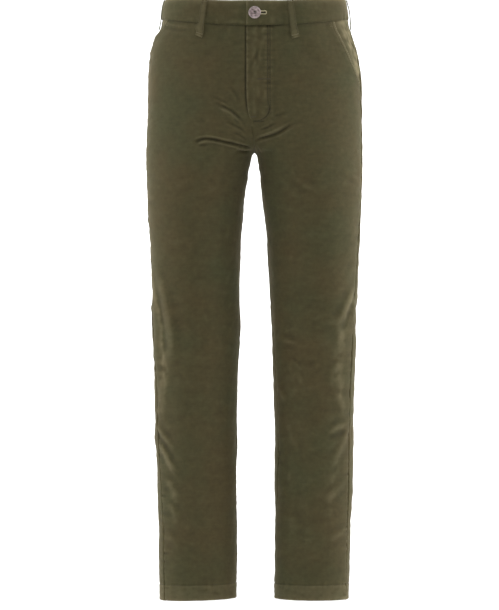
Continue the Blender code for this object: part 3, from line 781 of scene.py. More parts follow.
def lay_mesh(name: str, point: Array, faces: Sequence[Array],
             materials: Sequence[Material], slots: Array | None = None,
             flat: Array | None = None, wear: Array | None = None) -> Piece:
    """Make an object of whole arrays; faces turn outwards by the sign of the volume.

    Args:
        name: Name of the piece.
        point: Points, one a row.
        faces: Arrays of faces, each with one number of corners.
        materials: The piece's materials.
        slots: Material of each face.
        flat: Place of each point on the flat cloth, in metres.
        wear: Value of each point: up to 1 where the nap is rubbed off or a painted highlight lies, below 0
            for painted shade.
    Returns:
        The object, linked to the scene.
    """
    first = np.concatenate([f[:, :1].repeat(f.shape[1] - 2, axis=1).ravel() for f in faces])
    second = np.concatenate([f[:, 1:-1].ravel() for f in faces])
    third = np.concatenate([f[:, 2:].ravel() for f in faces])
    volume = np.einsum("ij,ij->", point[first], np.cross(point[second], point[third]))
    if volume < 0:
        faces = [f[:, ::-1] for f in faces]
    corner = np.concatenate([f.ravel() for f in faces]).astype(np.int32)
    count = np.concatenate([np.full(len(f), f.shape[1]) for f in faces])
    mesh = bpy.data.meshes.new(name)
    mesh.vertices.add(len(point))
    mesh.vertices.foreach_set("co", point.astype(np.float32).ravel())
    mesh.loops.add(len(corner))
    mesh.loops.foreach_set("vertex_index", corner)
    mesh.polygons.add(len(count))
    starts = np.concatenate([[0], np.cumsum(count)[:-1]])
    mesh.polygons.foreach_set("loop_start", starts.astype(np.int32))
    mesh.update(calc_edges=True)
    for material in materials:
        mesh.materials.append(material)
    if slots is not None:
        mesh.polygons.foreach_set("material_index", slots.astype(np.int32))
    if flat is not None:
        layer = mesh.uv_layers.new(name="flat_cloth")
        layer.data.foreach_set("uv", flat[corner].astype(np.float32).ravel())
    # The attribute carries rubbed nap together with painted highlight and painted shade.
    shade = mesh.attributes.new("wear", "FLOAT", "POINT")
    amount = np.zeros(len(point)) if wear is None else wear
    shade.data.foreach_set("value", amount.astype(np.float32))
    mesh.shade_smooth()
    piece = bpy.data.objects.new(name, mesh)
    bpy.context.scene.collection.objects.link(piece)
    LOG.info("%s: %d faces", name, len(count))
    return piece


def lay_wall(name: str, side: Side, skin: Skin, cloth: Array, arc: Array, wear: Array,
             finish: tuple[Material, Material]) -> Piece:
    """Closed wall of cloth under a skin: the inner face is the outer one moved in along
    the normals, and both draw together in a round at the four edges.

    Args:
        name: Name of the piece.
        side: Side that the piece is mirrored to.
        skin: Its outer face, worked out on the left.
        cloth: Thickness of the wall at each point.
        arc: Distance of each point along its row; with the drop, its place on the flat cloth.
        wear: Rubbing, painted highlight and painted shade of each point of the outer face; the inner one has
            none.
        finish: Materials of the face and of the reverse.
    Returns:
        The piece.
    """
    rows, columns = skin.point.shape[:2]
    full = np.broadcast_to(skin.drop[:, None], arc.shape)
    edge = np.minimum(np.minimum(arc, arc[:, -1:] - arc), np.minimum(full - full[0], full[-1] - full))
    flat = np.stack([arc, -full], axis=-1)
    kept = rounding(edge, cloth)[..., None] * cloth[..., None] / 2
    middle = skin.point - skin.normal * cloth[..., None] / 2
    outer, inner = middle + skin.normal * kept, middle - skin.normal * kept
    mirror = np.array([side.value, 1.0, 1.0])
    skin.point = outer
    number = np.arange(rows * columns).reshape(rows, columns)
    a, b, c, d = number[:-1, :-1], number[:-1, 1:], number[1:, 1:], number[1:, :-1]
    face = np.stack([a, b, c, d], axis=-1).reshape(-1, 4)
    rim = np.concatenate([number[0], number[1:, -1], number[-1, -2::-1], number[-2:0:-1, 0]])
    after = np.roll(rim, -1)
    shift = rows * columns
    sides = np.stack([after, rim, rim + shift, after + shift], axis=-1)
    slots = np.concatenate([np.zeros(len(face)), np.ones(len(face)), np.zeros(len(sides))])
    return lay_mesh(
        name, np.concatenate([outer.reshape(-1, 3), inner.reshape(-1, 3)]) * mirror,
        [np.concatenate([face, face[:, ::-1] + shift, sides])], finish, slots,
        np.tile(flat.reshape(-1, 2), (2, 1)), np.concatenate([wear.ravel(), np.zeros(wear.size)]))


def linear(code: str) -> tuple[float, float, float, float]:
    """Linear colour of an sRGB hex code."""
    value = [int(code[i:i + 2], 16) / 255 for i in (1, 3, 5)]
    red, green, blue = (v / 12.92 if v <= 0.04045 else ((v + 0.055) / 1.055) ** 2.4 for v in value)
    return red, green, blue, 1.0


@dataclass
class Recipe:
    """A material in the making, with calls for the nodes that the finishes share. Where a
    call takes a source, a number or a colour may stand instead and is set on the socket."""

    name: str

    def __post_init__(self) -> None:
        """Start the material with an empty node tree."""
        self.material = bpy.data.materials.new(self.name)
        self.material.use_nodes = True
        self.tree = self.material.node_tree
        self.tree.nodes.clear()

    def add(self, kind: str, inputs: dict[Any, Any], **properties: Any) -> bpy.types.Node:
        """Add a node, set its properties, and set or link its sockets.

        Args:
            kind: Type of the node, without the words that all types start with.
            inputs: Sources, numbers or colours by socket name or number.
            properties: The node's own settings.
        Returns:
            The node.
        """
        node = self.tree.nodes.new("ShaderNode" + kind)
        for key, value in properties.items():
            setattr(node, key, value)
        for key, value in inputs.items():
            if isinstance(value, Socket):
                self.tree.links.new(value, node.inputs[key])
            else:
                node.inputs[key].default_value = value
        return node

    def place(self) -> Socket:
        """Place on the object, in metres."""
        return self.add("TexCoord", {}).outputs["Object"]

    def flat_cloth(self) -> Socket:
        """Place on the flat cloth, in metres."""
        return self.add("UVMap", {}, uv_map="flat_cloth").outputs["UV"]

    def wear(self) -> Socket:
        """Rubbing, painted highlight and painted shade, as the piece's attribute carries them."""
        return self.add("Attribute", {}, attribute_name="wear").outputs["Fac"]

    def stretch(self, vector: Socket, scale: tuple[float, ...]) -> Socket:
        """A place scaled along each axis."""
        return self.add("Mapping", {"Vector": vector, "Scale": scale}).outputs[0]

    def noise(self, vector: Socket, scale: float, detail: float,
              roughness: float = 0.5, distortion: float = 0.0) -> Socket:
        """Noise at a place."""
        return self.add("TexNoise", {"Vector": vector, "Scale": scale, "Detail": detail,
                                     "Roughness": roughness, "Distortion": distortion}).outputs[0]

    def spread(self, value: Socket, low: float, high: float,
               least: float = 0.0, most: float = 1.0) -> Socket:
        """A value carried from the range low to high to the range least to most."""
        return self.add("MapRange", {"Value": value, "From Min": low, "From Max": high,
                                     "To Min": least, "To Max": most}).outputs[0]

    def blend(self, share: Any, first: Any, second: Any, way: str = "MIX") -> Socket:
        """Two colours mixed, or the first multiplied by the second."""
        inputs = {0: share, 6: first, 7: second}
        return self.add("Mix", inputs, data_type="RGBA", blend_type=way).outputs[2]

    def product(self, first: Any, second: Any) -> Socket:
        """Product of two values."""
        return self.add("Math", {0: first, 1: second}, operation="MULTIPLY").outputs[0]

    def bump(self, height: Socket, strength: float, distance: float) -> Socket:
        """Normal tilted by a height."""
        inputs = {"Height": height, "Strength": strength, "Distance": distance}
        return self.add("Bump", inputs).outputs[0]

    def close(self, inputs: dict[str, Any]) -> Material:
        """End the tree with its shader and output, and hand over the material."""
        shader = self.add("BsdfPrincipled", inputs)
        self.add("OutputMaterial", {"Surface": shader.outputs[0]})
        return self.material


@dataclass(frozen=True)
class MoleskinFace:
    """Moleskin: heavy cotton satin, napped and sheared, so it is matt and soft with a
    pale bloom where it turns away, paler where it is rubbed and in painted highlights,
    darker with painted shade in its hollows, and a little uneven in dye. Lengths are in metres."""

    name: str = "moleskin_face"
    olive: str = "#433E27"
    green: str = "#3E4029"
    brown: str = "#493E27"
    # Pale colour for rubbed nap and for painted highlight.
    worn: str = "#8B8163"
    # Dark colour of painted shade in hollows, seams and stitching.
    deep: str = "#1C190F"
    bloom: str = "#B5AA88"
    sheen: float = 0.36
    patch: float = 0.10
    mottle: float = 0.0065
    streak_width: float = 0.026
    streak_height: float = 0.0027
    fibre: float = 0.0016

    def build(self) -> Material:
        """Make the material: three dyes in patches, a finer mottle and level streaks that
        lighten and darken them, paleness from rubbing and painted highlight and darkness
        from painted shade by the piece's attribute, and a nap of short fibres drawn out down the cloth."""
        recipe = Recipe(self.name)
        place = recipe.place()
        hue = recipe.spread(recipe.noise(place, 1 / self.patch, 3.0, 0.6), 0.34, 0.66)
        dyed = recipe.blend(hue, linear(self.green), linear(self.brown))
        olive = recipe.blend(0.5, dyed, linear(self.olive))
        light = recipe.spread(recipe.noise(place, 1 / self.mottle, 4.0, 0.65), 0.3, 0.7, 0.88, 1.12)
        toned = recipe.blend(1.0, olive, light, "MULTIPLY")
        drawn = recipe.stretch(place, (1 / self.streak_width, 1 / self.streak_width, 1 / self.streak_height))
        streak = recipe.spread(recipe.noise(drawn, 1.0, 3.0, 0.6, 0.5), 0.3, 0.7, 0.95, 1.05)
        toned = recipe.blend(1.0, toned, streak, "MULTIPLY")
        wear = recipe.wear()
        # Below zero the attribute darkens the cloth towards the dark colour as painted shade; above zero it
        # pales it for rubbed nap and painted highlight.
        toned = recipe.blend(recipe.spread(wear, 0.0, -1.0), toned, linear(self.deep))
        uneven = recipe.product(recipe.spread(wear, 0.0, 1.0), light)
        rubbed_and_painted_highlight_mix = recipe.blend(uneven, toned, linear(self.worn))
        combed = recipe.stretch(recipe.flat_cloth(), (1 / self.fibre, 0.3 / self.fibre, 1.0))
        return recipe.close({
            "Base Color": rubbed_and_painted_highlight_mix, "Normal": recipe.bump(recipe.noise(combed, 1.0, 3.0, 0.7), 0.5, 0.0004),
            "Roughness": 0.93, "Specular IOR Level": 0.22, "Sheen Weight": self.sheen,
            "Sheen Roughness": 0.42, "Sheen Tint": linear(self.bloom)})


@dataclass(frozen=True)
class MoleskinReverse:
    """Reverse of moleskin: the unsheared satin back, smoother and paler, with fine
    diagonal ribs."""

    name: str = "moleskin_reverse"
    ground: str = "#665F45"
    rib: float = 0.0011

    def build(self) -> Material:
        """Make the material: ribs by a wave texture on the flat cloth."""
        recipe = Recipe(self.name)
        ribs = recipe.add("TexWave", {
            "Vector": recipe.flat_cloth(), "Scale": 0.16 / self.rib, "Distortion": 0.4,
        }, wave_type="BANDS", bands_direction="DIAGONAL").outputs["Fac"]
        tone = recipe.spread(ribs, 0.0, 1.0, 0.9, 1.06)
        return recipe.close({
            "Base Color": recipe.blend(1.0, linear(self.ground), tone, "MULTIPLY"),
            "Normal": recipe.bump(ribs, 0.3, 0.0002), "Roughness": 0.8, "Specular IOR Level": 0.25})


@dataclass(frozen=True)
class Thread:
    """Spun polyester thread: matt with a faint twist."""

    name: str
    colour: str
    twist: float = 0.0009

    def build(self) -> Material:
        """Make the material: a fine noise stands for the twisted plies."""
        recipe = Recipe(self.name)
        ply = recipe.noise(recipe.place(), 1 / self.twist, 2.0)
        tone = recipe.spread(ply, 0.0, 1.0, 0.75, 1.2)
        return recipe.close({
            "Base Color": recipe.blend(1.0, linear(self.colour), tone, "MULTIPLY"),
            "Normal": recipe.bump(ply, 0.4, 0.0001), "Roughness": 0.7, "Specular IOR Level": 0.3})


@dataclass(frozen=True)
class HornButton:
    """Polished button in the look of horn: mauve brown clouds with dark flecks, and a
    painted highlight on its rim, which the piece's attribute marks."""

    name: str = "polished_horn"
    body: str = "#9C8886"
    cloud: str = "#5E5150"
    # Colour of the painted highlight on the rim.
    rim: str = "#B9A8A6"
    fleck: str = "#2C2425"

    def build(self) -> Material:
        """Make the material: clouds by one noise, flecks by a finer, steeper one."""
        recipe = Recipe(self.name)
        place = recipe.place()
        clouds = recipe.spread(recipe.noise(place, 230.0, 3.0), 0.35, 0.65)
        horn = recipe.blend(clouds, linear(self.cloud), linear(self.body))
        flecks = recipe.spread(recipe.noise(place, 620.0, 2.0), 0.62, 0.72)
        horn = recipe.blend(flecks, horn, linear(self.fleck))
        # Painted highlight: the rim blended towards the pale rim colour.
        horn = recipe.blend(recipe.product(recipe.wear(), 0.4), horn, linear(self.rim))
        return recipe.close({"Base Color": horn, "Roughness": 0.22, "IOR": 1.54,
                             "Coat Weight": 0.4, "Coat Roughness": 0.1})


@dataclass(frozen=True)
class PalePaper:
    """Matt pale studio paper for the floor and its sweep."""

    name: str = "studio_paper"
    colour: str = "#F4F4F4"

    def build(self) -> Material:
        """Make the material: one matt colour."""
        return Recipe(self.name).close({"Base Color": linear(self.colour), "Roughness": 0.95,
                                        "Specular IOR Level": 0.1})


def made(finish: Any) -> Any:
    """Field that holds the material of a finish, made when it is first needed."""
    return field(default_factory=finish.build)


@dataclass
class Finishes:
    """All the materials, made once."""

    face: Material = made(MoleskinFace())
    reverse: Material = made(MoleskinReverse())
    # Thread in the cloth's tone, made a shade darker as painted shade in the stitch grooves.
    thread: Material = made(Thread("tonal_thread", "#3B3626"))
    tack_thread: Material = made(Thread("tack_thread", "#645C42"))
    pale_thread: Material = made(Thread("buttonhole_thread", "#A39A79"))
    # Dark thread for the button, also the painted shadow in the buttonhole's slit.
    dark_thread: Material = made(Thread("button_thread", "#2E291E"))
    horn: Material = made(HornButton())
    paper: Material = made(PalePaper())

    @property
    def cloth(self) -> tuple[Material, Material]:
        """Face and reverse of the cloth."""
        return self.face, self.reverse


@dataclass
class LegPanel:
    """One leg panel, from the waistband's seam to the hem. Its swells are larger where the
    cloth hangs slack; each swell and ripple has a height, a wavelength round the leg and one
    down it. Its offsets are distances of columns from its edges, in millimetres."""

    side: Side
    face: Face
    finishes: Finishes
    cloth: float = 0.0016
    hem_cloth: float = 0.0032
    fly_width: float = 0.0385
    fly_proud: float = 0.0016
    underlap: float = 0.009
    tuck: float = 0.0015
    lap: float = 0.0004
    mouth_proud: float = 0.0014
    middle_columns: int = 50
    swells: tuple[tuple[float, float, float], ...] = (
        (0.00085, 0.13, 0.085), (0.00034, 0.055, 0.032))
    ripples: tuple[tuple[float, float, float], ...] = (
        (0.00020, 0.022, 0.012), (0.00009, 0.011, 0.007))
    inner_offsets: tuple[float, ...] = (
        0.0, 0.25, 0.6, 1.0, 1.6, 2.4, 3.4, 4.6, 6.0, 8.0, 10.5, 13.0, 15.5, 18.0, 20.5, 23.0,
        25.5, 28.0, 30.0, 32.0, 33.6, 35.0, 35.8, 36.4, 37.2, 38.2, 39.2, 39.9, 40.7, 42.0, 44.0)
    outer_offsets: tuple[float, ...] = (
        12.5, 10.5, 9.0, 7.8, 7.0, 6.4, 5.6, 4.6, 3.5, 2.6, 2.0, 1.5, 1.0, 0.6, 0.25, 0.0)

    @property
    def name(self) -> str:
        """Name of the node that the panel replaces."""
        return f"{self.face.name.lower()}_{self.side.word}"

    def rows(self) -> Array:
        """Drops of the rows: close at the seams, the crotch and the hem's stitching."""
        near_top = SEAM + np.array([
            -self.tuck / MM, -0.7, -0.15, 0.15, 0.4, 0.75, 1.3, 2.0, 3.0, 4.4]) * MM
        hips = np.arange(near_top[-1] + 0.002, 0.205, 0.0022)
        seat = np.arange(0.205, CROTCH - 0.0016, 0.0015)
        crotch = CROTCH + np.array([-1.2, -0.6, -0.2, 0.0, 0.4, 1.0, 1.8]) * MM
        fork = np.arange(CROTCH + 0.0030, 0.310, 0.0015)
        leg = np.linspace(0.3115, HEM_LINE - 0.003, 205)
        hem_line = HEM_LINE + np.array([-2.2, -1.5, -0.9, -0.4, 0.0, 0.4, 0.9, 1.5, 2.2, 3.2]) * MM
        hem = np.linspace(HEM_LINE + 0.005, LENGTH - 0.0042, 9)
        foot = LENGTH - np.array([3.0, 2.2, 1.6, 1.15, 0.75, 0.42, 0.18, 0.0]) * MM
        return np.concatenate([near_top, hips, seat, crotch, fork, leg, hem_line, hem, foot])

    def columns(self, drop: Array) -> tuple[Array, Array, Array]:
        """Turns of the grid. Above the crotch and on the legs the columns keep their
        distance in millimetres from both edges; round the crotch they follow the leg
        below, because the seat runs under there.

        Args:
            drop: Drop of each row, as a column of values.
        Returns:
            The turns, and how far the first and last columns lie past their seams.
        """
        inner, inseam = FORM.inner_edge(self.side, self.face, drop)
        outer = FORM.side_turn(SIDE_SEAM, self.side, drop)
        past, beyond = np.full(drop.shape, self.lap), np.full(drop.shape, self.lap)
        if self.face is Face.FRONT:
            mouth = FORM.side_turn(MOUTH, self.side, drop)
            outer = np.where(drop < MOUTH_END - 1e-6, mouth, outer)
            beyond = beyond * (drop > MOUTH_END)
            at_fly = ease(FLY_END, FLY_END - 0.02, drop)
            past = past * (1 - at_fly) + (self.side is Side.RIGHT) * self.underlap * at_fly
        inner, outer = self.beyond(inner, outer, past, drop), self.beyond(outer, inner, beyond, drop)
        fine = inner + (outer - inner) * np.linspace(0, 1, 401)[None, :]
        arc = row_arc(FORM.surface(self.side, fine, drop))
        near, far = np.array(self.inner_offsets) * MM, np.array(self.outer_offsets) * MM
        ramp = np.linspace(0, 1, self.middle_columns + 2)[1:-1]
        length = arc[:, -1:]
        first = np.where(near < 0.0005, near, 0.0) + np.where(near < 0.0005, 0.0, near + past)
        last = first[:, -1:]
        wanted = np.concatenate([first, last + (length - far[0] - last) * ramp, length - far], axis=1)
        by_length = np.stack([np.interp(w, a, t) for w, a, t in zip(wanted, arc, fine)])
        nominal = 0.190
        between = near[-1] + (nominal - far[0] - near[-1]) * ramp
        share = np.concatenate([near, between, nominal - far]) / nominal
        missing, full = inner - inseam, outer - inseam
        power = np.clip(0.8 * full / np.where(missing == 0.0, full, missing), 1.0, 4.0)
        by_leg = inseam + full * share + missing * np.clip(1 - share, 0.0, 1.0) ** power
        mix = ease(0.185, 0.235, drop) * ease(0.345, 0.285, drop)
        return by_length * (1 - mix) + by_leg * mix, past, beyond

    def beyond(self, edge: Array, other: Array, reach: Array,
               drop: Array) -> Array:
        """Turn of an edge moved away from the other edge by a distance in metres."""
        return edge - np.sign(other - edge) * reach / FORM.pace(self.side, edge, drop)

    def relief(self, drop: Array, turn: Array, point: Array,
               from_inner: Array, from_outer: Array) -> Array:
        """Height over the bare surface: creases, unevenness, seams, puckers and hem.

        Args:
            drop: Drop of each row.
            turn: Turn of each point.
            point: Points of the bare surface.
            from_inner: Distance of each point from the centre seam, fly edge or inseam.
            from_outer: Distance of each point from the side seam or pocket mouth.
        Returns:
            Metres along the normal.
        """
        full = np.broadcast_to(drop, turn.shape)
        height = np.zeros(turn.size)
        flat_points = point.reshape(-1, 3)
        for crease in CREASES:
            if crease.side is self.side and crease.fold is not RUB:
                height += Track(crease).height(flat_points)
        height = height.reshape(turn.shape)
        seed = 11 + 7 * self.side.value + 3 * self.face.value
        slack = 0.55 + 0.45 * ease(0.22, 0.50, full)
        for step, (amount, around, down) in enumerate(self.swells + self.ripples):
            share = slack if step < len(self.swells) else 1.0
            height += amount * share * drift(point, (around, around, down), seed + step)
        centre = ease(0.0, 0.02, from_inner)
        height *= np.where(full < CROTCH + 0.01, 0.25 + 0.75 * centre, 1.0)
        height *= ease(SEAM - 0.001, SEAM + 0.012, full)
        height += self.seams(full, from_inner, from_outer, seed)
        if self.face is Face.FRONT:
            height += self.opening(full, point, from_inner, from_outer, seed)
        from_line = full - HEM_LINE
        height += 0.00055 * ease(-0.0005, 0.0028, from_line) - 0.00055 * bell(from_line, 0.0011)
        along = row_arc(point)
        height += 0.00026 * wander(along, 0.0125, seed + 5) * bell(from_line, 0.008)
        height += 0.00045 * wander(along, 0.034, seed + 6) * ease(HEM_LINE, LENGTH, full)
        return height

    def seams(self, drop: Array, from_inner: Array, from_outer: Array,
              seed: int) -> Array:
        """Valleys at the seams, the allowance pressed to one side under them, and the
        puckers that the sewing draws in, deepest low on the side seams.

        Args:
            drop: Drop of each point.
            from_inner: Distance of each point from the inner edge.
            from_outer: Distance of each point from the outer edge.
            seed: First seed of the panel's uneven waves.
        Returns:
            Metres along the normal.
        """
        height = np.zeros(drop.shape)
        at_fly = (self.face is Face.FRONT) * ease(FLY_END + 0.006, FLY_END - 0.004, drop)
        at_mouth = (self.face is Face.FRONT) * (drop < MOUTH_END)
        height -= 0.00075 * np.exp(-np.maximum(from_inner, 0) / 0.0012) * (1 - at_fly)
        height -= 0.00085 * np.exp(-np.maximum(from_outer, 0) / 0.0012) * (1 - at_mouth)
        height -= 0.00095 * np.exp(-np.maximum(drop - SEAM, 0) / 0.0016)
        fork = ease(CROTCH - 0.002, CROTCH + 0.004, drop) * ease(CROTCH + 0.075, CROTCH + 0.012, drop)
        height -= 0.0014 * fork * bell(from_inner, 0.030)
        if self.face is Face.BACK:
            height += 0.00042 * (ease(0.0002, 0.0014, from_outer) - ease(0.0050, 0.0072, from_outer))
        low = ease(0.70, 0.86, drop)
        side = (0.00022 + 0.00062 * low) * wander(drop, 0.0105, seed + 8) * bell(from_outer, 0.013)
        side += 0.00055 * wander(drop, 0.027, seed + 9) * bell(from_outer, 0.020) * (1 - low)
        inner = (0.00018 + 0.00022 * ease(0.45, 0.7, drop)) * wander(drop, 0.013, seed + 10)
        return height + side + inner * bell(from_inner, 0.009) * (1 - at_fly)

    def opening(self, drop: Array, point: Array, from_inner: Array,
                from_outer: Array, seed: int) -> Array:
        """Front only: the fly's layers, the pocket's mouth, its stitching, and the small
        gathers under the waistband's seam.

        Args:
            drop: Drop of each point.
            point: Points of the bare surface.
            from_inner: Distance of each point from the fly's edge.
            from_outer: Distance of each point from the pocket's mouth.
            seed: First seed of the panel's uneven waves.
        Returns:
            Metres along the normal.
        """
        height = np.zeros(drop.shape)
        at_fly = ease(FLY_END, FLY_END - 0.03, drop)
        if self.side is Side.LEFT:
            layers = ease(self.fly_width + 0.007, self.fly_width + 0.001, from_inner)
            height += self.fly_proud * layers * at_fly
            for row in FLY_ROWS:
                height -= 0.00056 * bell(from_inner - row, 0.0009) * ease(0.190, 0.184, drop)
            height -= 0.0012 * self.fly_bend(drop, from_inner)
            height += 0.00080 * wander(drop, 0.010, seed + 12) * bell(from_inner - 0.037, 0.008) * at_fly
            height += 0.00042 * wander(drop, 0.017, seed + 13) * bell(from_inner, 0.007) * at_fly
            slack = wander(from_inner + 0.25 * drop, 0.012, seed + 16) * wander(drop, 0.055, seed + 17)
            height += 0.00046 * slack * bell(from_inner - 0.018, 0.016) * at_fly
            pebble = drift(point, (0.011, 0.011, 0.017), seed + 20)
            height += 0.00036 * pebble * bell(from_inner - 0.018, 0.018) * at_fly
        else:
            height -= 0.0016 * ease(0.0045, 0.0, from_inner) * at_fly
            height += 0.00042 * wander(drop, 0.020, seed + 18) * bell(from_inner - 0.012, 0.010) * at_fly
            height -= 0.0012 * ease(0.0005, -0.0015, from_inner) * at_fly
        at_mouth = ease(MOUTH_END, 0.115, drop)
        height += self.mouth_proud * bell(from_outer, 0.015) * at_mouth
        for row in MOUTH_ROWS:
            height -= 0.00042 * bell(from_outer - row, 0.0008) * (drop < MOUTH_END)
        height += 0.00042 * wander(drop, 0.014, seed + 14) * bell(from_outer, 0.010) * at_mouth
        across = point[..., 0]
        gathers = wander(across, 0.019, seed + 15) * (0.5 + 0.5 * wander(across, 0.06, seed + 19))
        near_seam = ease(SEAM + 0.026, SEAM + 0.002, drop) * ease(SEAM, SEAM + 0.003, drop)
        return height + 0.00050 * gathers * near_seam

    def shade(self, drop: Array, from_inner: Array) -> Array:
        """Painted shade along the waistband's seam, the fly's stitching and its curve, and painted shadow
        under the fly's edge on the right panel.

        Args:
            drop: Drop of each point.
            from_inner: Distance of each point from the inner edge.
        Returns:
            Amount of painted shade to take from the value of rubbing and painted light.
        """
        # Painted shade along the waistband's seam; on the front, painted shadow under the fly's edge or
        # painted shade along its stitching.
        tone = 0.42 * np.exp(-np.maximum(drop - SEAM, 0) / 0.0014)
        if self.face is not Face.FRONT:
            return tone
        if self.side is Side.RIGHT:
            return tone + 0.7 * ease(0.0045, 0.0005, from_inner) * ease(0.205, 0.185, drop)
        for row in FLY_ROWS:
            tone += 0.46 * bell(from_inner - row, 0.0009) * ease(0.190, 0.184, drop)
        return tone + self.fly_bend(drop, from_inner)

    def fly_bend(self, drop: Array, from_inner: Array) -> Array:
        """Bell, 0.5 high, along the quarter turn that ends the fly's stitching."""
        sweep = np.clip((drop - 0.187) / 0.0265, 0.0, 1.0)
        bend = 0.006 + 0.0318 * np.sqrt(1 - sweep ** 2)
        level = np.abs(drop - 0.2135) + 0.0045 * (from_inner > 0.024)
        off = np.minimum(np.abs(from_inner - bend), level)
        ends = ease(0.183, 0.188, drop) * ease(0.2165, 0.2145, drop) * ease(0.004, 0.007, from_inner)
        return 0.5 * bell(off, 0.0013) * ends

    def wear(self, drop: Array, point: Array, from_inner: Array,
             from_outer: Array, height: Array) -> Array:
        """Rubbing and painted light of each point: rubbed on the hem and the open edges, paler on
        every crest, painted highlight down the outer edges, and painted shade in hollows, beside seams and
        along the fly's stitching.

        Args:
            drop: Drop of each point.
            point: Points of the bare surface.
            from_inner: Distance of each point from the inner edge.
            from_outer: Distance of each point from the outer edge.
            height: Height of the relief at each point.
        Returns:
            The value, from the deepest painted shade, -0.8, to 1.
        """
        from_line = drop - HEM_LINE
        wear = 0.30 * np.exp(-(LENGTH - drop) / 0.0022) + 0.09 * ease(-0.002, 0.004, from_line)
        wear = wear + 0.03 * bell(from_line - 0.002, 0.002)
        if self.face is Face.FRONT:
            wear = wear + 0.80 * np.exp(-np.maximum(from_outer, 0) / 0.0024) * (drop < MOUTH_END)
            if self.side is Side.LEFT:
                wear = wear + 0.28 * np.exp(-from_inner / 0.0014) * (drop < FLY_END)
        # Paler on crests; painted shade in hollows, and along seams and stitching by shade().
        low = hollow(height)
        wear = wear + 45 * np.clip(height - 0.0012, 0, 0.003) + 110 * np.clip(-low - 0.00008, 0, 0.0012)
        wear = wear - 400 * np.clip(low - 0.00005, 0, 0.0012) - self.shade(drop, from_inner)
        # Painted highlight: pale strips of painted sheen down the outer edges of the front.
        for crease in CREASES:
            if crease.side is self.side and crease.fold is RUB and self.face is Face.FRONT:
                patchy = 0.75 + 0.25 * drift(point, (0.012, 0.012, 0.030), seed=97)
                wear = wear + Track(crease).height(point.reshape(-1, 3)).reshape(wear.shape) * patchy
        return np.clip(wear, DEEPEST_PAINTED_SHADE, 1)

    def build(self) -> tuple[Piece, Skin]:
        """Lay the panel's wall.

        Returns:
            The piece, and its skin on the left side of the body.
        """
        drop = self.rows()[:, None]
        turn, past, beyond = self.columns(drop)
        point, normal = FORM.surface(self.side, turn, drop), FORM.outward(self.side, turn, drop)
        arc = row_arc(point)
        from_inner, from_outer = arc - past, arc[:, -1:] - beyond - arc
        full = np.broadcast_to(drop, turn.shape)
        height = self.relief(drop, turn, point, from_inner, from_outer)
        free = np.where(full < CROTCH + 0.004, ease(0.0, 0.014, from_inner), 1.0)
        way = unit(normal * np.stack([free, np.ones(free.shape), np.ones(free.shape)], axis=-1))
        skin = outer_skin(point + way * height[..., None], normal, from_inner, from_outer, drop)
        turned_up = ease(-0.001, 0.002, full - HEM_LINE)
        cloth = self.cloth + (self.hem_cloth - self.cloth) * turned_up
        wear = self.wear(full, point, from_inner, from_outer, height)
        piece = lay_wall(self.name + "_cloth", self.side, skin, cloth, arc, wear, self.finishes.cloth)
        register(piece, self.name)
        width, length = float(arc[:, -1].max()), float(drop[-1, 0] - drop[0, 0])
        area = cut_area(arc, drop)
        "waistband_" + self.side.word
        LOG.info("%s: cut %.3f by %.3f m, %.4f square metres", self.name, width, length, area)
        return piece, skin


@dataclass
class PocketFacing:
    """Facing that shows behind a slant pocket's mouth."""

    side: Side
    finishes: Finishes
    cloth: float = 0.0016
    sunk: float = 0.0028
    tuck: float = 0.090
    bottom: float = 0.153
    least_area: float = 0.31

    def build(self) -> Piece:
        """Lay the facing's wall, puckered where it shows."""
        drop = np.concatenate([np.array([-1.5, -0.6, 0, 0.3, 0.8, 1.6]) * MM + SEAM,
                               np.arange(SEAM + 0.0035, self.bottom, 0.0018), [self.bottom]])[:, None]
        mouth = FORM.side_turn(MOUTH, self.side, drop)
        seam = FORM.side_turn(SIDE_SEAM, self.side, drop)
        share = np.linspace(0, 1, 41)[None, :] ** 0.9
        start = mouth - self.tuck
        turn = start + (seam + 0.003 - start) * share
        point, normal = FORM.surface(self.side, turn, drop), FORM.outward(self.side, turn, drop)
        arc = row_arc(point)
        full = np.broadcast_to(drop, turn.shape)
        from_outer = np.maximum(arc[:, -1:] - 0.0004 - arc, 0.0)
        width = np.maximum(seam - mouth, 1e-6)
        rising = ease(1.0, 0.0, (turn - mouth) / width)
        height = -self.sunk * np.maximum(rising, ease(0.06, 0.02, width))
        shown = ease(0.0, 0.5, (turn - mouth) / width) * ease(0.02, 0.2, width)
        uneven = wander(full + 0.35 * arc, 0.031, 71) + 0.8 * drift(point, (0.03, 0.03, 0.022), 74)
        height = height + 0.0011 * uneven * shown * ease(SEAM, SEAM + 0.01, full)
        height += 0.0005 * wander(arc, 0.008, 72) * shown * bell(full - 0.075, 0.03)
        height -= 0.00085 * np.exp(-from_outer / 0.0012)
        height -= 0.0009 * np.exp(-np.maximum(full - SEAM, 0) / 0.0015)
        skin = outer_skin(point + normal * height[..., None], normal, arc, from_outer, drop)
        # Painted highlight: the facing paler where it shows; painted shade in its hollows, paler on its
        # crests.
        wear = 0.40 * shown * (1 + 0.5 * drift(point, (0.02, 0.02, 0.014), 73)) - 260 * hollow(height)
        name = "pocket_facing_" + self.side.word
        piece = lay_wall(name + "_cloth", self.side, skin, np.full(turn.shape, self.cloth), arc,
                         np.clip(wear, -0.6, 1), self.finishes.cloth)
        register(piece, name)
        width, length = float(arc[:, -1].max()), float(drop[-1, 0] - drop[0, 0])
        "waistband_" + self.side.word
        return piece


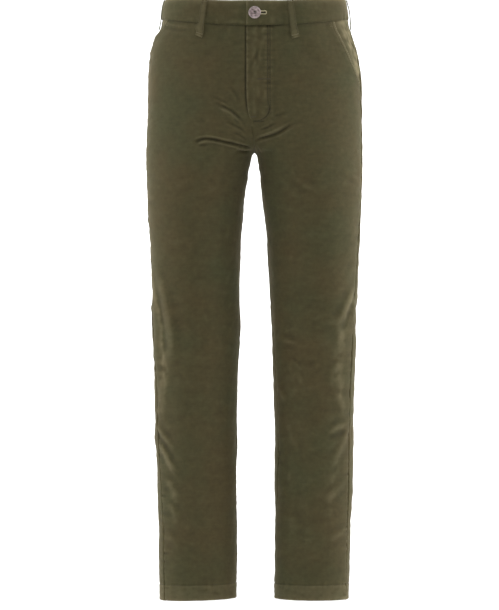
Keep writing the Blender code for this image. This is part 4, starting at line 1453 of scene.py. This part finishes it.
@dataclass
class Waistband:
    """Half of the waistband, from its front end round to the centre back."""

    side: Side
    finishes: Finishes
    cloth: float = 0.0030
    proud: float = 0.0006
    lap: float = 0.0036
    lap_foot: float = 0.050
    lap_crest: float = 0.0255
    underlap: float = 0.022
    height: float = 0.0368

    def build(self) -> tuple[Piece, Skin]:
        """Lay the band's wall: two layers, folded over at the top.

        Returns:
            The piece, and its skin on the left side of the body.
        """
        low = SEAM - GAP / 2
        drop = np.concatenate([np.array([0, 0.15, 0.4, 0.8, 1.3, 2.0, 3.0, 4.5]) * MM,
                               np.linspace(0.0065, low - 0.005, 15),
                               low - np.array([3.2, 2.1, 1.3, 0.75, 0.35, 0.12, 0.0]) * MM])[:, None]
        front = curve(FLY_EDGE, "across", 0.0) if self.side is Side.LEFT else -self.underlap
        start = FORM.turn_at(self.side, Face.FRONT, drop, np.full(drop.shape, float(front)))
        ends = np.array([0, 0.15, 0.4, 0.8, 1.3, 2.0, 3.0]) / 480
        between = np.linspace(ends[-1], 1 - ends[-1], 230)[1:-1]
        share = np.concatenate([ends, between, (1 - ends)[::-1]])[None, :]
        turn = start + (1.5 * np.pi + 0.0028 - start) * share
        point, normal = FORM.surface(self.side, turn, drop), FORM.outward(self.side, turn, drop)
        arc, full = row_arc(point), np.broadcast_to(drop, turn.shape)
        height = np.full(turn.shape, self.proud)
        if self.side is Side.LEFT:
            height += self.lap * ease(self.lap_foot, self.lap_crest, point[..., 0]) * (turn < np.pi)
        crown = ease(0.0, 0.006, full) * ease(low, low - 0.006, full)
        height += 0.00035 * crown - 0.00060 * np.exp(-(low - full) / 0.0013)
        height += 0.00036 * crown * drift(point, (0.05, 0.05, 0.022), 31 + self.side.value)
        height += 0.00014 * crown * drift(point, (0.014, 0.014, 0.012), 47 + self.side.value)
        height += 0.00034 * wander(arc, 0.014, 37 + self.side.value) * ease(low - 0.014, low - 0.002, full)
        height += 0.00028 * wander(arc, 0.045, 41 + self.side.value) * ease(0.010, 0.0, full)
        height -= 0.0006 * np.exp(-np.maximum(arc[:, -1:] - 0.0004 - arc, 0) / 0.0012)
        skin = outer_skin(point + normal * height[..., None], normal, arc, arc[:, -1:] - arc, drop)
        # Top edge paler, partly rubbing and partly painted highlight; painted shade along the bottom seam
        # and in hollows, paler on crests.
        wear = 0.42 * np.exp(-full / 0.0026) - 0.34 * np.exp(-(low - full) / 0.0010)
        wear = wear - 130 * hollow(height)
        # The lap's front end paler, partly rubbing and partly painted highlight.
        if self.side is Side.LEFT:
            wear = wear + 0.28 * np.exp(-arc / 0.0016)
        name = "waistband_" + self.side.word
        piece = lay_wall(name + "_cloth", self.side, skin, np.full(turn.shape, self.cloth), arc,
                         np.clip(wear, -0.6, 1), self.finishes.cloth)
        register(piece, name)
        "front_" + self.side.word
        "back_" + self.side.word
        return piece, skin


@dataclass
class BeltLoop:
    """Belt loop: a folded strip with two rows of stitching, tacked at both ends."""

    name: str
    side: Side
    turn: float
    lean: float
    length: float
    foot_width: float
    rise: float
    knob: float
    finishes: Finishes
    width: float = 0.0113
    cloth: float = 0.0018
    band: float = 0.0006
    heights: tuple[tuple[float, float], ...] = (
        (0.00, 0.0004), (0.10, 0.0010), (0.30, 0.0030), (0.60, 0.0038), (0.78, 0.0034),
        (0.92, 0.0010), (1.00, 0.0004))

    def build(self) -> tuple[Piece, Array, Array, Array]:
        """Carry a flat rounded section down the band. Round the section, the half width
        goes as |cos|^0.35 and the half thickness as |sin|^0.8.

        Returns:
            The piece, and its outer middle line with its normals and side vectors.
        """
        rows, around = 64, 28
        share = np.linspace(0, 1, rows)[:, None]
        drop = 0.0004 + share * (self.length - 0.0004)
        centre = np.full(drop.shape, np.radians(self.turn))
        middle = centre + self.lean * share / FORM.pace(self.side, centre, drop)
        point = FORM.surface(self.side, middle, drop)[:, 0]
        normal = FORM.outward(self.side, middle, drop)[:, 0]
        off = self.rise * np.interp(share[:, 0], *np.array(self.heights).T)
        off = np.convolve(np.pad(off, 4, mode="edge"), np.ones(9) / 9, mode="valid")
        line = point + normal * (self.band + off + self.cloth / 2)[:, None]
        way = unit(np.gradient(line, axis=0))
        across = unit(np.cross(way, normal))
        rise = unit(np.cross(across, way))
        half = 0.5 * (self.width + (self.foot_width - self.width) * ease(0.62, 0.80, share[:, 0]))
        swell = self.knob * bell(share[:, 0] - 0.72, 0.085)
        half, line = half + swell, line - across * swell[:, None]
        near = np.minimum(share[:, 0], 1 - share[:, 0]) * self.length
        cap = rounding(near, np.full(rows, self.cloth * 1.6))
        angle = np.linspace(0, 2 * np.pi, around, endpoint=False)
        wide = np.sign(np.cos(angle)) * np.abs(np.cos(angle)) ** 0.35
        thick = np.sign(np.sin(angle)) * np.abs(np.sin(angle)) ** 0.8
        groove = 1 - 0.16 * bell(np.abs(wide) - 0.70, 0.10)
        tack = 1 + 0.30 * bell(share - 0.925, 0.035) + 0.15 * bell(share - 0.06, 0.03)
        reach = (half * (0.9 + 0.1 * cap))[:, None, None]
        shape = (line[:, None] + across[:, None] * reach * wide[None, :, None]
                 + rise[:, None] * (self.cloth / 2 * cap[:, None] * thick * groove * tack)[..., None])
        number = np.arange(rows * around).reshape(rows, around)
        after = np.roll(number, -1, axis=1)
        face = np.stack([number[:-1], after[:-1], after[1:], number[1:]], axis=-1).reshape(-1, 4)
        mirror = np.array([self.side.value, 1.0, 1.0])
        flat = np.stack(np.broadcast_arrays(wide[None] * half[:, None], -drop), axis=-1)
        # Paler overall and at the lower end; painted shadow along both edges and painted shade in the
        # stitching grooves.
        wear = 0.13 - 0.30 * bell(np.abs(wide)[None] - 1.0, 0.05) + 0.12 * bell(share - 0.985, 0.02)
        wear = wear - 0.25 * bell(np.abs(wide)[None] - 0.70, 0.08)
        piece = lay_mesh(self.name + "_cloth", shape.reshape(-1, 3) * mirror,
                         [face, number[:1, ::-1], number[-1:]], [self.finishes.face], None,
                         flat.reshape(-1, 2), np.clip(wear, -1, 1).ravel())
        register(piece, self.name)
        "waistband_" + self.side.word
        top = line + rise * self.cloth / 2
        return piece, top * mirror, rise * mirror, across * half[:, None] * mirror


@dataclass
class Sewing:
    """Rows of stitches and tacks in one thread, gathered into one mesh a group."""

    name: str
    material: Material
    length: float = 0.0027
    space: float = 0.0007
    radius: float = 0.00030
    runs: list[tuple[Array, ...]] = field(default_factory=list)

    def add_row(self, point: Array, normal: Array, lift: float = 0.00012) -> None:
        """Add stitches along a line at an even pitch.

        Args:
            point: Points of the line on the cloth.
            normal: Their normals.
            lift: Height of a stitch's middle over the cloth.
        """
        step = np.linalg.norm(np.diff(point, axis=0), axis=1)
        place = np.concatenate([[0.0], np.cumsum(step)])
        pitch = self.length + self.space
        count = max(int(place[-1] / pitch), 1)
        at = (np.arange(count) + 0.5) * place[-1] / count
        half = self.length / 2
        ends = [np.stack([np.interp(at + shift, place, point[:, k]) for k in range(3)], axis=1)
                for shift in (-half, half)]
        up = unit(np.stack([np.interp(at, place, normal[:, k]) for k in range(3)], axis=1))
        self.add_bars(ends[0], ends[1], up, lift)

    def add_bars(self, start: Array, end: Array, up: Array, lift: float = 0.00012,
                 radius: float | None = None) -> None:
        """Add single stitches between pairs of points."""
        size = np.full(len(start), self.radius if radius is None else radius)
        self.runs.append((start, end, up, np.full(len(start), lift), size))

    def add_tack(self, start: Array, end: Array, up: Array, width: float,
                 count: int) -> None:
        """Add a bar tack: close stitches across a line, side by side.

        Args:
            start: One end of the tack's line.
            end: The other end.
            up: Normal of the cloth there.
            width: Width of the tack.
            count: Number of stitches.
        """
        along = end - start
        across = unit(np.cross(up, along)) * width / 2
        share = (np.arange(count)[:, None] + 0.5) / count
        middle = start + along * share
        lean = unit(along) * np.linalg.norm(along) / count * 0.3
        self.add_bars(middle - across - lean, middle + across + lean, np.tile(up, (count, 1)), 0.00028,
                      0.55 * float(np.linalg.norm(along)) / count)

    def build(self) -> Piece:
        """Make every stitch a short arched thread: five rings of six points, thinner and
        lower at both ends."""
        start, end, up, lift, size = (np.concatenate(part) for part in zip(*self.runs))
        middle, half = (start + end) / 2, (end - start) / 2
        side = unit(np.cross(up, half))
        up = unit(np.cross(half, side))
        along = np.array([-1.0, -0.62, 0.0, 0.62, 1.0])
        thin = np.array([0.45, 0.92, 1.0, 0.92, 0.45])
        rise = np.array([-1.5, 0.3, 1.0, 0.3, -1.5])
        angle = np.arange(6) * np.pi / 3
        ring = (up[:, None, None] * np.sin(angle)[None, None, :, None]
                + side[:, None, None] * np.cos(angle)[None, None, :, None])
        point = (middle[:, None, None] + half[:, None, None] * along[None, :, None, None]
                 + up[:, None, None] * (lift[:, None] * rise)[:, :, None, None]
                 + ring * (size[:, None] * thin)[:, :, None, None])
        count = len(start)
        number = np.arange(count * 30).reshape(count, 5, 6)
        after = np.roll(number, -1, axis=2)
        walls = np.stack([number[:, :-1], after[:, :-1], after[:, 1:], number[:, 1:]], axis=-1)
        caps = np.concatenate([number[:, 0, ::-1], number[:, -1]])
        piece = lay_mesh(self.name, point.reshape(-1, 3), [walls.reshape(-1, 4), caps], [self.material])
        register(piece)
        return piece


@dataclass
class WaistButton:
    """Round four-hole button with a raised rim and a dished face, sewn on."""

    finishes: Finishes
    radius: float = 0.0105
    thickness: float = 0.0034
    drop: float = BUTTON_DROP
    hole: float = 0.00085
    pitch: float = 0.0015
    seat: float = 0.0047

    def profile(self) -> Array:
        """Half section from the middle of the face over the rim to the middle below."""
        rows = [(0.0, 0.50), (0.30, 0.505), (0.52, 0.53), (0.64, 0.60), (0.71, 0.76), (0.77, 0.91),
                (0.83, 0.98), (0.88, 1.0), (0.93, 0.975), (0.97, 0.89), (0.995, 0.76), (1.0, 0.62),
                (0.985, 0.46), (0.93, 0.30), (0.82, 0.15), (0.66, 0.05), (0.50, 0.0), (0.0, 0.0)]
        return np.array(rows) * np.array([self.radius, self.thickness])

    def build(self) -> tuple[Piece, Piece]:
        """Turn the section round, drill four holes and sew the button on.

        Returns:
            The button and its thread.
        """
        steps = 72
        section = self.profile()
        angle = np.linspace(0, 2 * np.pi, steps, endpoint=False)
        rings = section[1:-1]
        body = np.stack([rings[:, None, 0] * np.cos(angle), rings[:, None, 0] * np.sin(angle),
                         np.broadcast_to(rings[:, 1:], (len(rings), steps))], axis=-1)
        point = np.concatenate([body.reshape(-1, 3), [[0, 0, section[0, 1]], [0, 0, section[-1, 1]]]])
        number, walls = turned_faces(len(rings), steps)
        top, bottom = np.full(steps, len(point) - 2), np.full(steps, len(point) - 1)
        caps = np.concatenate([np.stack([top, number[0], np.roll(number[0], -1)], axis=-1),
                               np.stack([bottom, np.roll(number[-1], -1), number[-1]], axis=-1)])
        level = np.array([self.drop])
        turn = FORM.turn_at(Side.LEFT, Face.FRONT, level, np.array([0.0]))
        place, up = FORM.surface(Side.LEFT, turn, level)[0], FORM.outward(Side.LEFT, turn, level)[0]
        across = unit(np.cross(np.array([0.0, 0.0, 1.0]), up))
        frame = np.stack([-across, np.cross(up, -across), up])
        base = place + up * self.seat
        # Painted highlight: the rim, marked in the piece's attribute.
        rim = ease(0.80, 0.90, np.linalg.norm(point[:, :2], axis=1) / self.radius)
        button = lay_mesh("waist_button_horn", point @ frame + base, [walls, caps], [self.finishes.horn],
                          None, point[:, :2], rim)
        holes = [np.array([sx, sy]) * self.pitch for sx in (-1, 1) for sy in (-1, 1)]
        self.drill(button, holes, frame, base)
        register(button, "waist_button")
        thread = Sewing("waist_button_thread", self.finishes.dark_thread, radius=0.00042)
        for sy in (-1, 1):
            for shift in (-0.00030, 0.00030):
                ends = [np.array([[sx * self.pitch, sy * self.pitch + shift, 0.47 * self.thickness]])
                        @ frame + base for sx in (-1, 1)]
                thread.add_bars(ends[0], ends[1], up[None], 0.00045)
        post = np.array([[0.0, 0.0, -0.0012], [0.0, 0.0, 0.0010]]) @ frame + base
        thread.add_bars(post[:1], post[1:], across[None], 0.0, 0.0016)
        return button, thread.build()

    def drill(self, button: Piece, holes: Sequence[Array], frame: Array,
              base: Array) -> None:
        """Cut the holes with one cutter of four prisms, and keep the result as the mesh.

        Args:
            button: The button.
            holes: Middle of each hole on the button's face.
            frame: The button's three directions, one a row.
            base: Middle of its underside.
        """
        sides = 20
        angle = np.linspace(0, 2 * np.pi, sides, endpoint=False)
        parts, walls, caps = [], [], []
        for k, hole in enumerate(holes):
            ring = hole + self.hole * np.stack([np.cos(angle), np.sin(angle)], axis=-1)
            for z in (-0.002, 0.006):
                parts.append(np.concatenate([ring, np.full((sides, 1), z)], axis=1))
            low = np.arange(sides) + 2 * k * sides
            high, after = low + sides, np.roll(low, -1)
            walls.append(np.stack([low, after, after + sides, high], axis=-1))
            caps += [low[::-1], high]
        cutter = lay_mesh("hole_cutter", np.concatenate(parts) @ frame + base,
                          [np.concatenate(walls), np.stack(caps)], [self.finishes.horn])
        cut = button.modifiers.new("holes", "BOOLEAN")
        cut.object, cut.solver = cutter, "EXACT"
        bpy.context.view_layer.update()
        shown = button.evaluated_get(bpy.context.evaluated_depsgraph_get())
        drilled = bpy.data.meshes.new_from_object(shown)
        button.modifiers.clear()
        button.data = drilled
        drilled.name = button.name
        drilled.shade_smooth()
        drilled.set_sharp_from_angle(angle=math.radians(40))
        bpy.data.objects.remove(cutter)


@dataclass
class Buttonhole:
    """Keyhole buttonhole beside the button: an oval of close stitches round a slit."""

    finishes: Finishes
    near: float = 0.0040
    far: float = 0.0197
    half_height: float = 0.0019
    eye: float = 0.0026
    cord: float = 0.00105
    rib: float = 0.00060

    def build(self, band: Skin) -> Piece:
        """Carry a ribbed round section round the oval, and close its middle with a dark sheet
        below the stitches, a painted shadow in the slit.

        Args:
            band: Skin of the left half of the waistband.
        Returns:
            The piece.
        """
        count = 420
        angle = np.linspace(0, 2 * np.pi, count, endpoint=False)
        swell = self.half_height + (self.eye - self.half_height) * ease(0.0, 0.8, np.cos(angle))
        middle, reach = (self.near + self.far) / 2, (self.far - self.near) / 2
        x = middle + reach * np.sign(np.cos(angle)) * np.abs(np.cos(angle)) ** 0.55
        z = swell * np.sign(np.sin(angle)) * np.abs(np.sin(angle)) ** 0.75
        path, normal = self.on_band(band, x, z)
        way = unit(np.roll(path, -1, axis=0) - np.roll(path, 1, axis=0))
        aside = unit(np.cross(normal, way))
        step = np.linalg.norm(np.roll(path, -1, axis=0) - path, axis=1)
        along = np.concatenate([[0.0], np.cumsum(step)[:-1]])
        ribs = max(int(step.sum() / self.rib), 8)
        size = self.cord * (0.86 + 0.14 * np.cos(2 * np.pi * ribs * along / step.sum()))
        section = np.arange(10) * np.pi / 5
        ring = (path[:, None] + aside[:, None] * (size[:, None] * np.cos(section))[..., None]
                + normal[:, None] * (0.00025 + 0.62 * size[:, None] * np.sin(section))[..., None])
        number = np.arange(count * 10).reshape(count, 10)
        beside = np.roll(number, -1, axis=1)
        face = np.stack([number, beside, np.roll(beside, -1, axis=0), np.roll(number, -1, axis=0)],
                        axis=-1).reshape(-1, 4)
        oval = lay_mesh("buttonhole_stitches", ring.reshape(-1, 3), [face], [self.finishes.pale_thread])
        register(oval)
        # Painted shadow: a dark sheet in the slit, below the stitches.
        fill, fill_normal = self.on_band(band, middle + (x - middle) * 0.93, z * 0.62)
        layers = np.concatenate([fill + fill_normal * 0.00022, fill - fill_normal * 0.0005])
        edge = np.arange(count)
        walls = np.stack([edge, np.roll(edge, -1), np.roll(edge, -1) + count, edge + count], axis=-1)
        slit = lay_mesh("buttonhole_slit", layers, [walls, edge[None], edge[None, ::-1] + count],
                        [self.finishes.dark_thread])
        register(slit)
        return oval

    def on_band(self, band: Skin, x: Array, z: Array) -> tuple[Array, Array]:
        """Points of the band at distances across from the middle and up from the hole."""
        first = 60
        row = np.interp(BUTTON_DROP - z, band.drop, np.arange(len(band.drop)))
        level = band.point[int(row.mean()), :first, 0]
        return band.at(row, np.interp(x, level, np.arange(first)))


@dataclass
class Trousers:
    """The whole garment, built in the order of its making."""

    finishes: Finishes

    def build(self) -> None:
        """Build the panels, facings, band, loops, button and all the sewing."""
        skins: dict[str, Skin] = {}
        for side in Side:
            for face in Face:
                panel = LegPanel(side, face, self.finishes)
                skins[panel.name] = panel.build()[1]
            PocketFacing(side, self.finishes).build()
            skins["band_" + side.word] = Waistband(side, self.finishes).build()[1]
        self.build_loops()
        WaistButton(self.finishes).build()
        Buttonhole(self.finishes).build(skins["band_left"])
        self.sew(skins)

    def build_loops(self) -> None:
        """Build the five belt loops with their stitching and tacks."""
        sewing = Sewing("belt_loop_stitching", self.finishes.thread, length=0.0020, radius=0.00024)
        tacks = Sewing("belt_loop_tacks", self.finishes.tack_thread, radius=0.00024)
        for name, side, turn, lean, length, foot, rise, knob in (
                ("belt_loop_front_left", Side.LEFT, 111.6, 0.006, 0.0590, 0.0142, 1.0, 0.0),
                ("belt_loop_front_right", Side.RIGHT, 121.2, 0.004, 0.0585, 0.0136, 1.0, 0.0024),
                ("belt_loop_side_left", Side.LEFT, 177.5, 0.0, 0.0530, 0.0122, 0.45, 0.0),
                ("belt_loop_side_right", Side.RIGHT, 176.5, 0.0, 0.0530, 0.0124, 0.04, 0.0),
                ("belt_loop_back", Side.LEFT, 270.0, 0.0, 0.0560, 0.0124, 1.0, 0.0)):
            loop = BeltLoop(name, side, turn, lean, length, foot, rise, knob, self.finishes)
            _, line, up, across = loop.build()
            for share in (-0.68, 0.68):
                sewing.add_row((line + across * share)[2:-3], up[2:-3], 0.00008)
            for row, wide in ((57, 0.0016), (3, 0.0013)):
                reach = across[row] * 0.86
                tacks.add_tack(line[row] - reach, line[row] + reach, up[row], wide, 26)
        sewing.build()
        tacks.build()

    def sew(self, skins: dict[str, Skin]) -> None:
        """Sew the fly, the pocket mouths and the hems, and tack their ends."""
        fly = Sewing("fly_stitching", self.finishes.thread)
        left = skins["front_left"]
        bend_start, bend_end = 0.187, 0.006
        for distance, end in zip(FLY_ROWS, (0.2118, 0.2152)):
            drop = np.linspace(SEAM + 0.003, bend_start, 120)
            bend = np.linspace(0, 1, 60)[1:] * np.pi / 2
            sweep = bend_start + (end - bend_start) * np.sin(bend)
            turned = bend_end + (distance - bend_end) * np.cos(bend)
            arc = np.concatenate([np.full(120, distance), turned])
            fly.add_row(*left.on_arc(np.concatenate([drop, sweep]), arc))
        for drop, near, far, wide in ((0.1366, 0.0185, 0.0405, 0.0020), (0.2060, 0.003, 0.012, 0.0018)):
            ends, up = left.on_arc(np.array([drop, drop]), np.array([near, far]))
            fly.add_tack(ends[0] + up[0] * 0.0001, ends[1] + up[1] * 0.0001, up[0], wide, 36)
        fly.build()
        for side in Side:
            mirror = np.array([side.value, 1.0, 1.0])
            front, back = skins["front_" + side.word], skins["back_" + side.word]
            pocket = Sewing(f"pocket_stitching_{side.word}", self.finishes.thread)
            drop = np.linspace(SEAM + 0.003, MOUTH_END - 0.006, 160)
            for distance in MOUTH_ROWS:
                point, up = front.on_arc(drop, np.full(160, distance), from_end=True)
                pocket.add_row(point * mirror, up * mirror)
            pocket.build()
            tacks = Sewing(f"pocket_tacks_{side.word}", self.finishes.tack_thread)
            for drop_at, near, far in ((SEAM + 0.0045, 0.0020, 0.0125), (SEAM + 0.0085, 0.0020, 0.0125),
                                       (MOUTH_END - 0.004, 0.001, 0.009)):
                ends, up = front.on_arc(np.array([drop_at] * 2), np.array([far, near]), from_end=True)
                tacks.add_tack(ends[0] * mirror, ends[1] * mirror, up[0] * mirror, 0.0011, 20)
            tacks.build()
            hem = Sewing(f"hem_stitching_{side.word}", self.finishes.thread)
            for skin in (front, back):
                row = np.full(400, np.interp(HEM_LINE, skin.drop, np.arange(len(skin.drop))))
                point, up = skin.at(row, np.linspace(3, skin.from_inner.shape[1] - 4, 400))
                hem.add_row(point * mirror, up * mirror, 0.00005)
            hem.build()


@dataclass(frozen=True)
class Softbox:
    """One area light."""

    name: str
    place: tuple[float, float, float]
    aim: tuple[float, float, float]
    width: float
    height: float
    power: float


@dataclass
class Studio:
    """White cove all round under a soft sky, soft lights and the camera's place."""

    finishes: Finishes
    camera_place: tuple[float, float, float] = (-0.00877, -6.0, -0.5246)
    frame_height: float = 1.0492
    floor: float = -1.18
    wall: float = 9.0
    bend: float = 2.5
    top: float = 4.5
    sky: float = 0.38
    boxes: tuple[Softbox, ...] = (
        Softbox("left_side", (-2.6, 0.2, 0.0), (0.0, 0.0, -0.5), 1.2, 2.6, 46.0),
        Softbox("right_side", (2.6, 0.2, 0.0), (0.0, 0.0, -0.5), 1.2, 2.6, 70.0),
        Softbox("overhead", (-0.3, -2.2, 3.6), (0.0, 0.0, -0.5), 2.2, 1.2, 55.0),
        Softbox("front", (-1.2, -4.6, -0.1), (0.0, 0.0, -0.6), 1.6, 1.6, 20.0),
        Softbox("floor", (0.0, 2.3, 2.4), (0.0, 2.6, -1.2), 3.4, 1.6, 70.0),
        Softbox("backdrop_left", (-3.4, 3.6, 0.6), (-1.0, 9.0, -0.6), 2.4, 2.4, 330.0),
        Softbox("backdrop_right", (3.4, 3.6, 0.6), (1.0, 9.0, -0.6), 2.4, 2.4, 330.0),
    )

    def build(self) -> None:
        """Make the floor, the lights, the world and the camera."""
        bend = np.linspace(0, np.pi / 2, 25)
        out = np.concatenate([[1.0, 4.0], self.wall - self.bend + self.bend * np.sin(bend), [self.wall]])
        up = np.concatenate([[0.0, 0.0], self.bend * (1 - np.cos(bend)), [self.top - self.floor]])
        steps = 96
        turn = np.linspace(0, 2 * np.pi, steps, endpoint=False)
        ring = np.stack([out[:, None] * np.cos(turn), out[:, None] * np.sin(turn),
                         np.broadcast_to(self.floor + up[:, None], (len(out), steps))], axis=-1)
        number, face = turned_faces(len(out), steps)
        floor = lay_mesh("studio_cove", ring.reshape(-1, 3), [face, number[:1]], [self.finishes.paper])
        for box in self.boxes:
            light = bpy.data.lights.new(box.name, "AREA")
            light.shape, light.size, light.size_y = "RECTANGLE", box.width, box.height
            light.energy = box.power
            lamp = bpy.data.objects.new(box.name, light)
            lamp.location = box.place
            lamp.rotation_euler = (Vector(box.aim) - Vector(box.place)).to_track_quat("-Z", "Y").to_euler()
            lamp.visible_camera = False
            bpy.context.scene.collection.objects.link(lamp)
        bpy.context.scene.view_settings.view_transform = "Standard"
        world = bpy.data.worlds.new("studio_world")
        world.use_nodes = True
        sky = world.node_tree.nodes["Background"].inputs
        sky["Color"].default_value = (1.0, 1.0, 1.0, 1.0)
        sky["Strength"].default_value = self.sky
        bpy.context.scene.world = world
        lens = bpy.data.cameras.new("camera")
        lens.sensor_fit, lens.sensor_height = "VERTICAL", 24.0
        lens.lens = lens.sensor_height * -self.camera_place[1] / self.frame_height
        camera = bpy.data.objects.new("camera", lens)
        camera.location = self.camera_place
        camera.rotation_euler = (math.pi / 2, 0.0, 0.0)
        bpy.context.scene.collection.objects.link(camera)
        bpy.context.scene.camera = camera


def main() -> None:
    """Load the solids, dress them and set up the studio."""
    logging.basicConfig(level=logging.INFO, format="%(name)s: %(message)s")
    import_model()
    finishes = Finishes()
    Studio(finishes).build()
    Trousers(finishes).build()


if __name__ == "__main__":
    main()
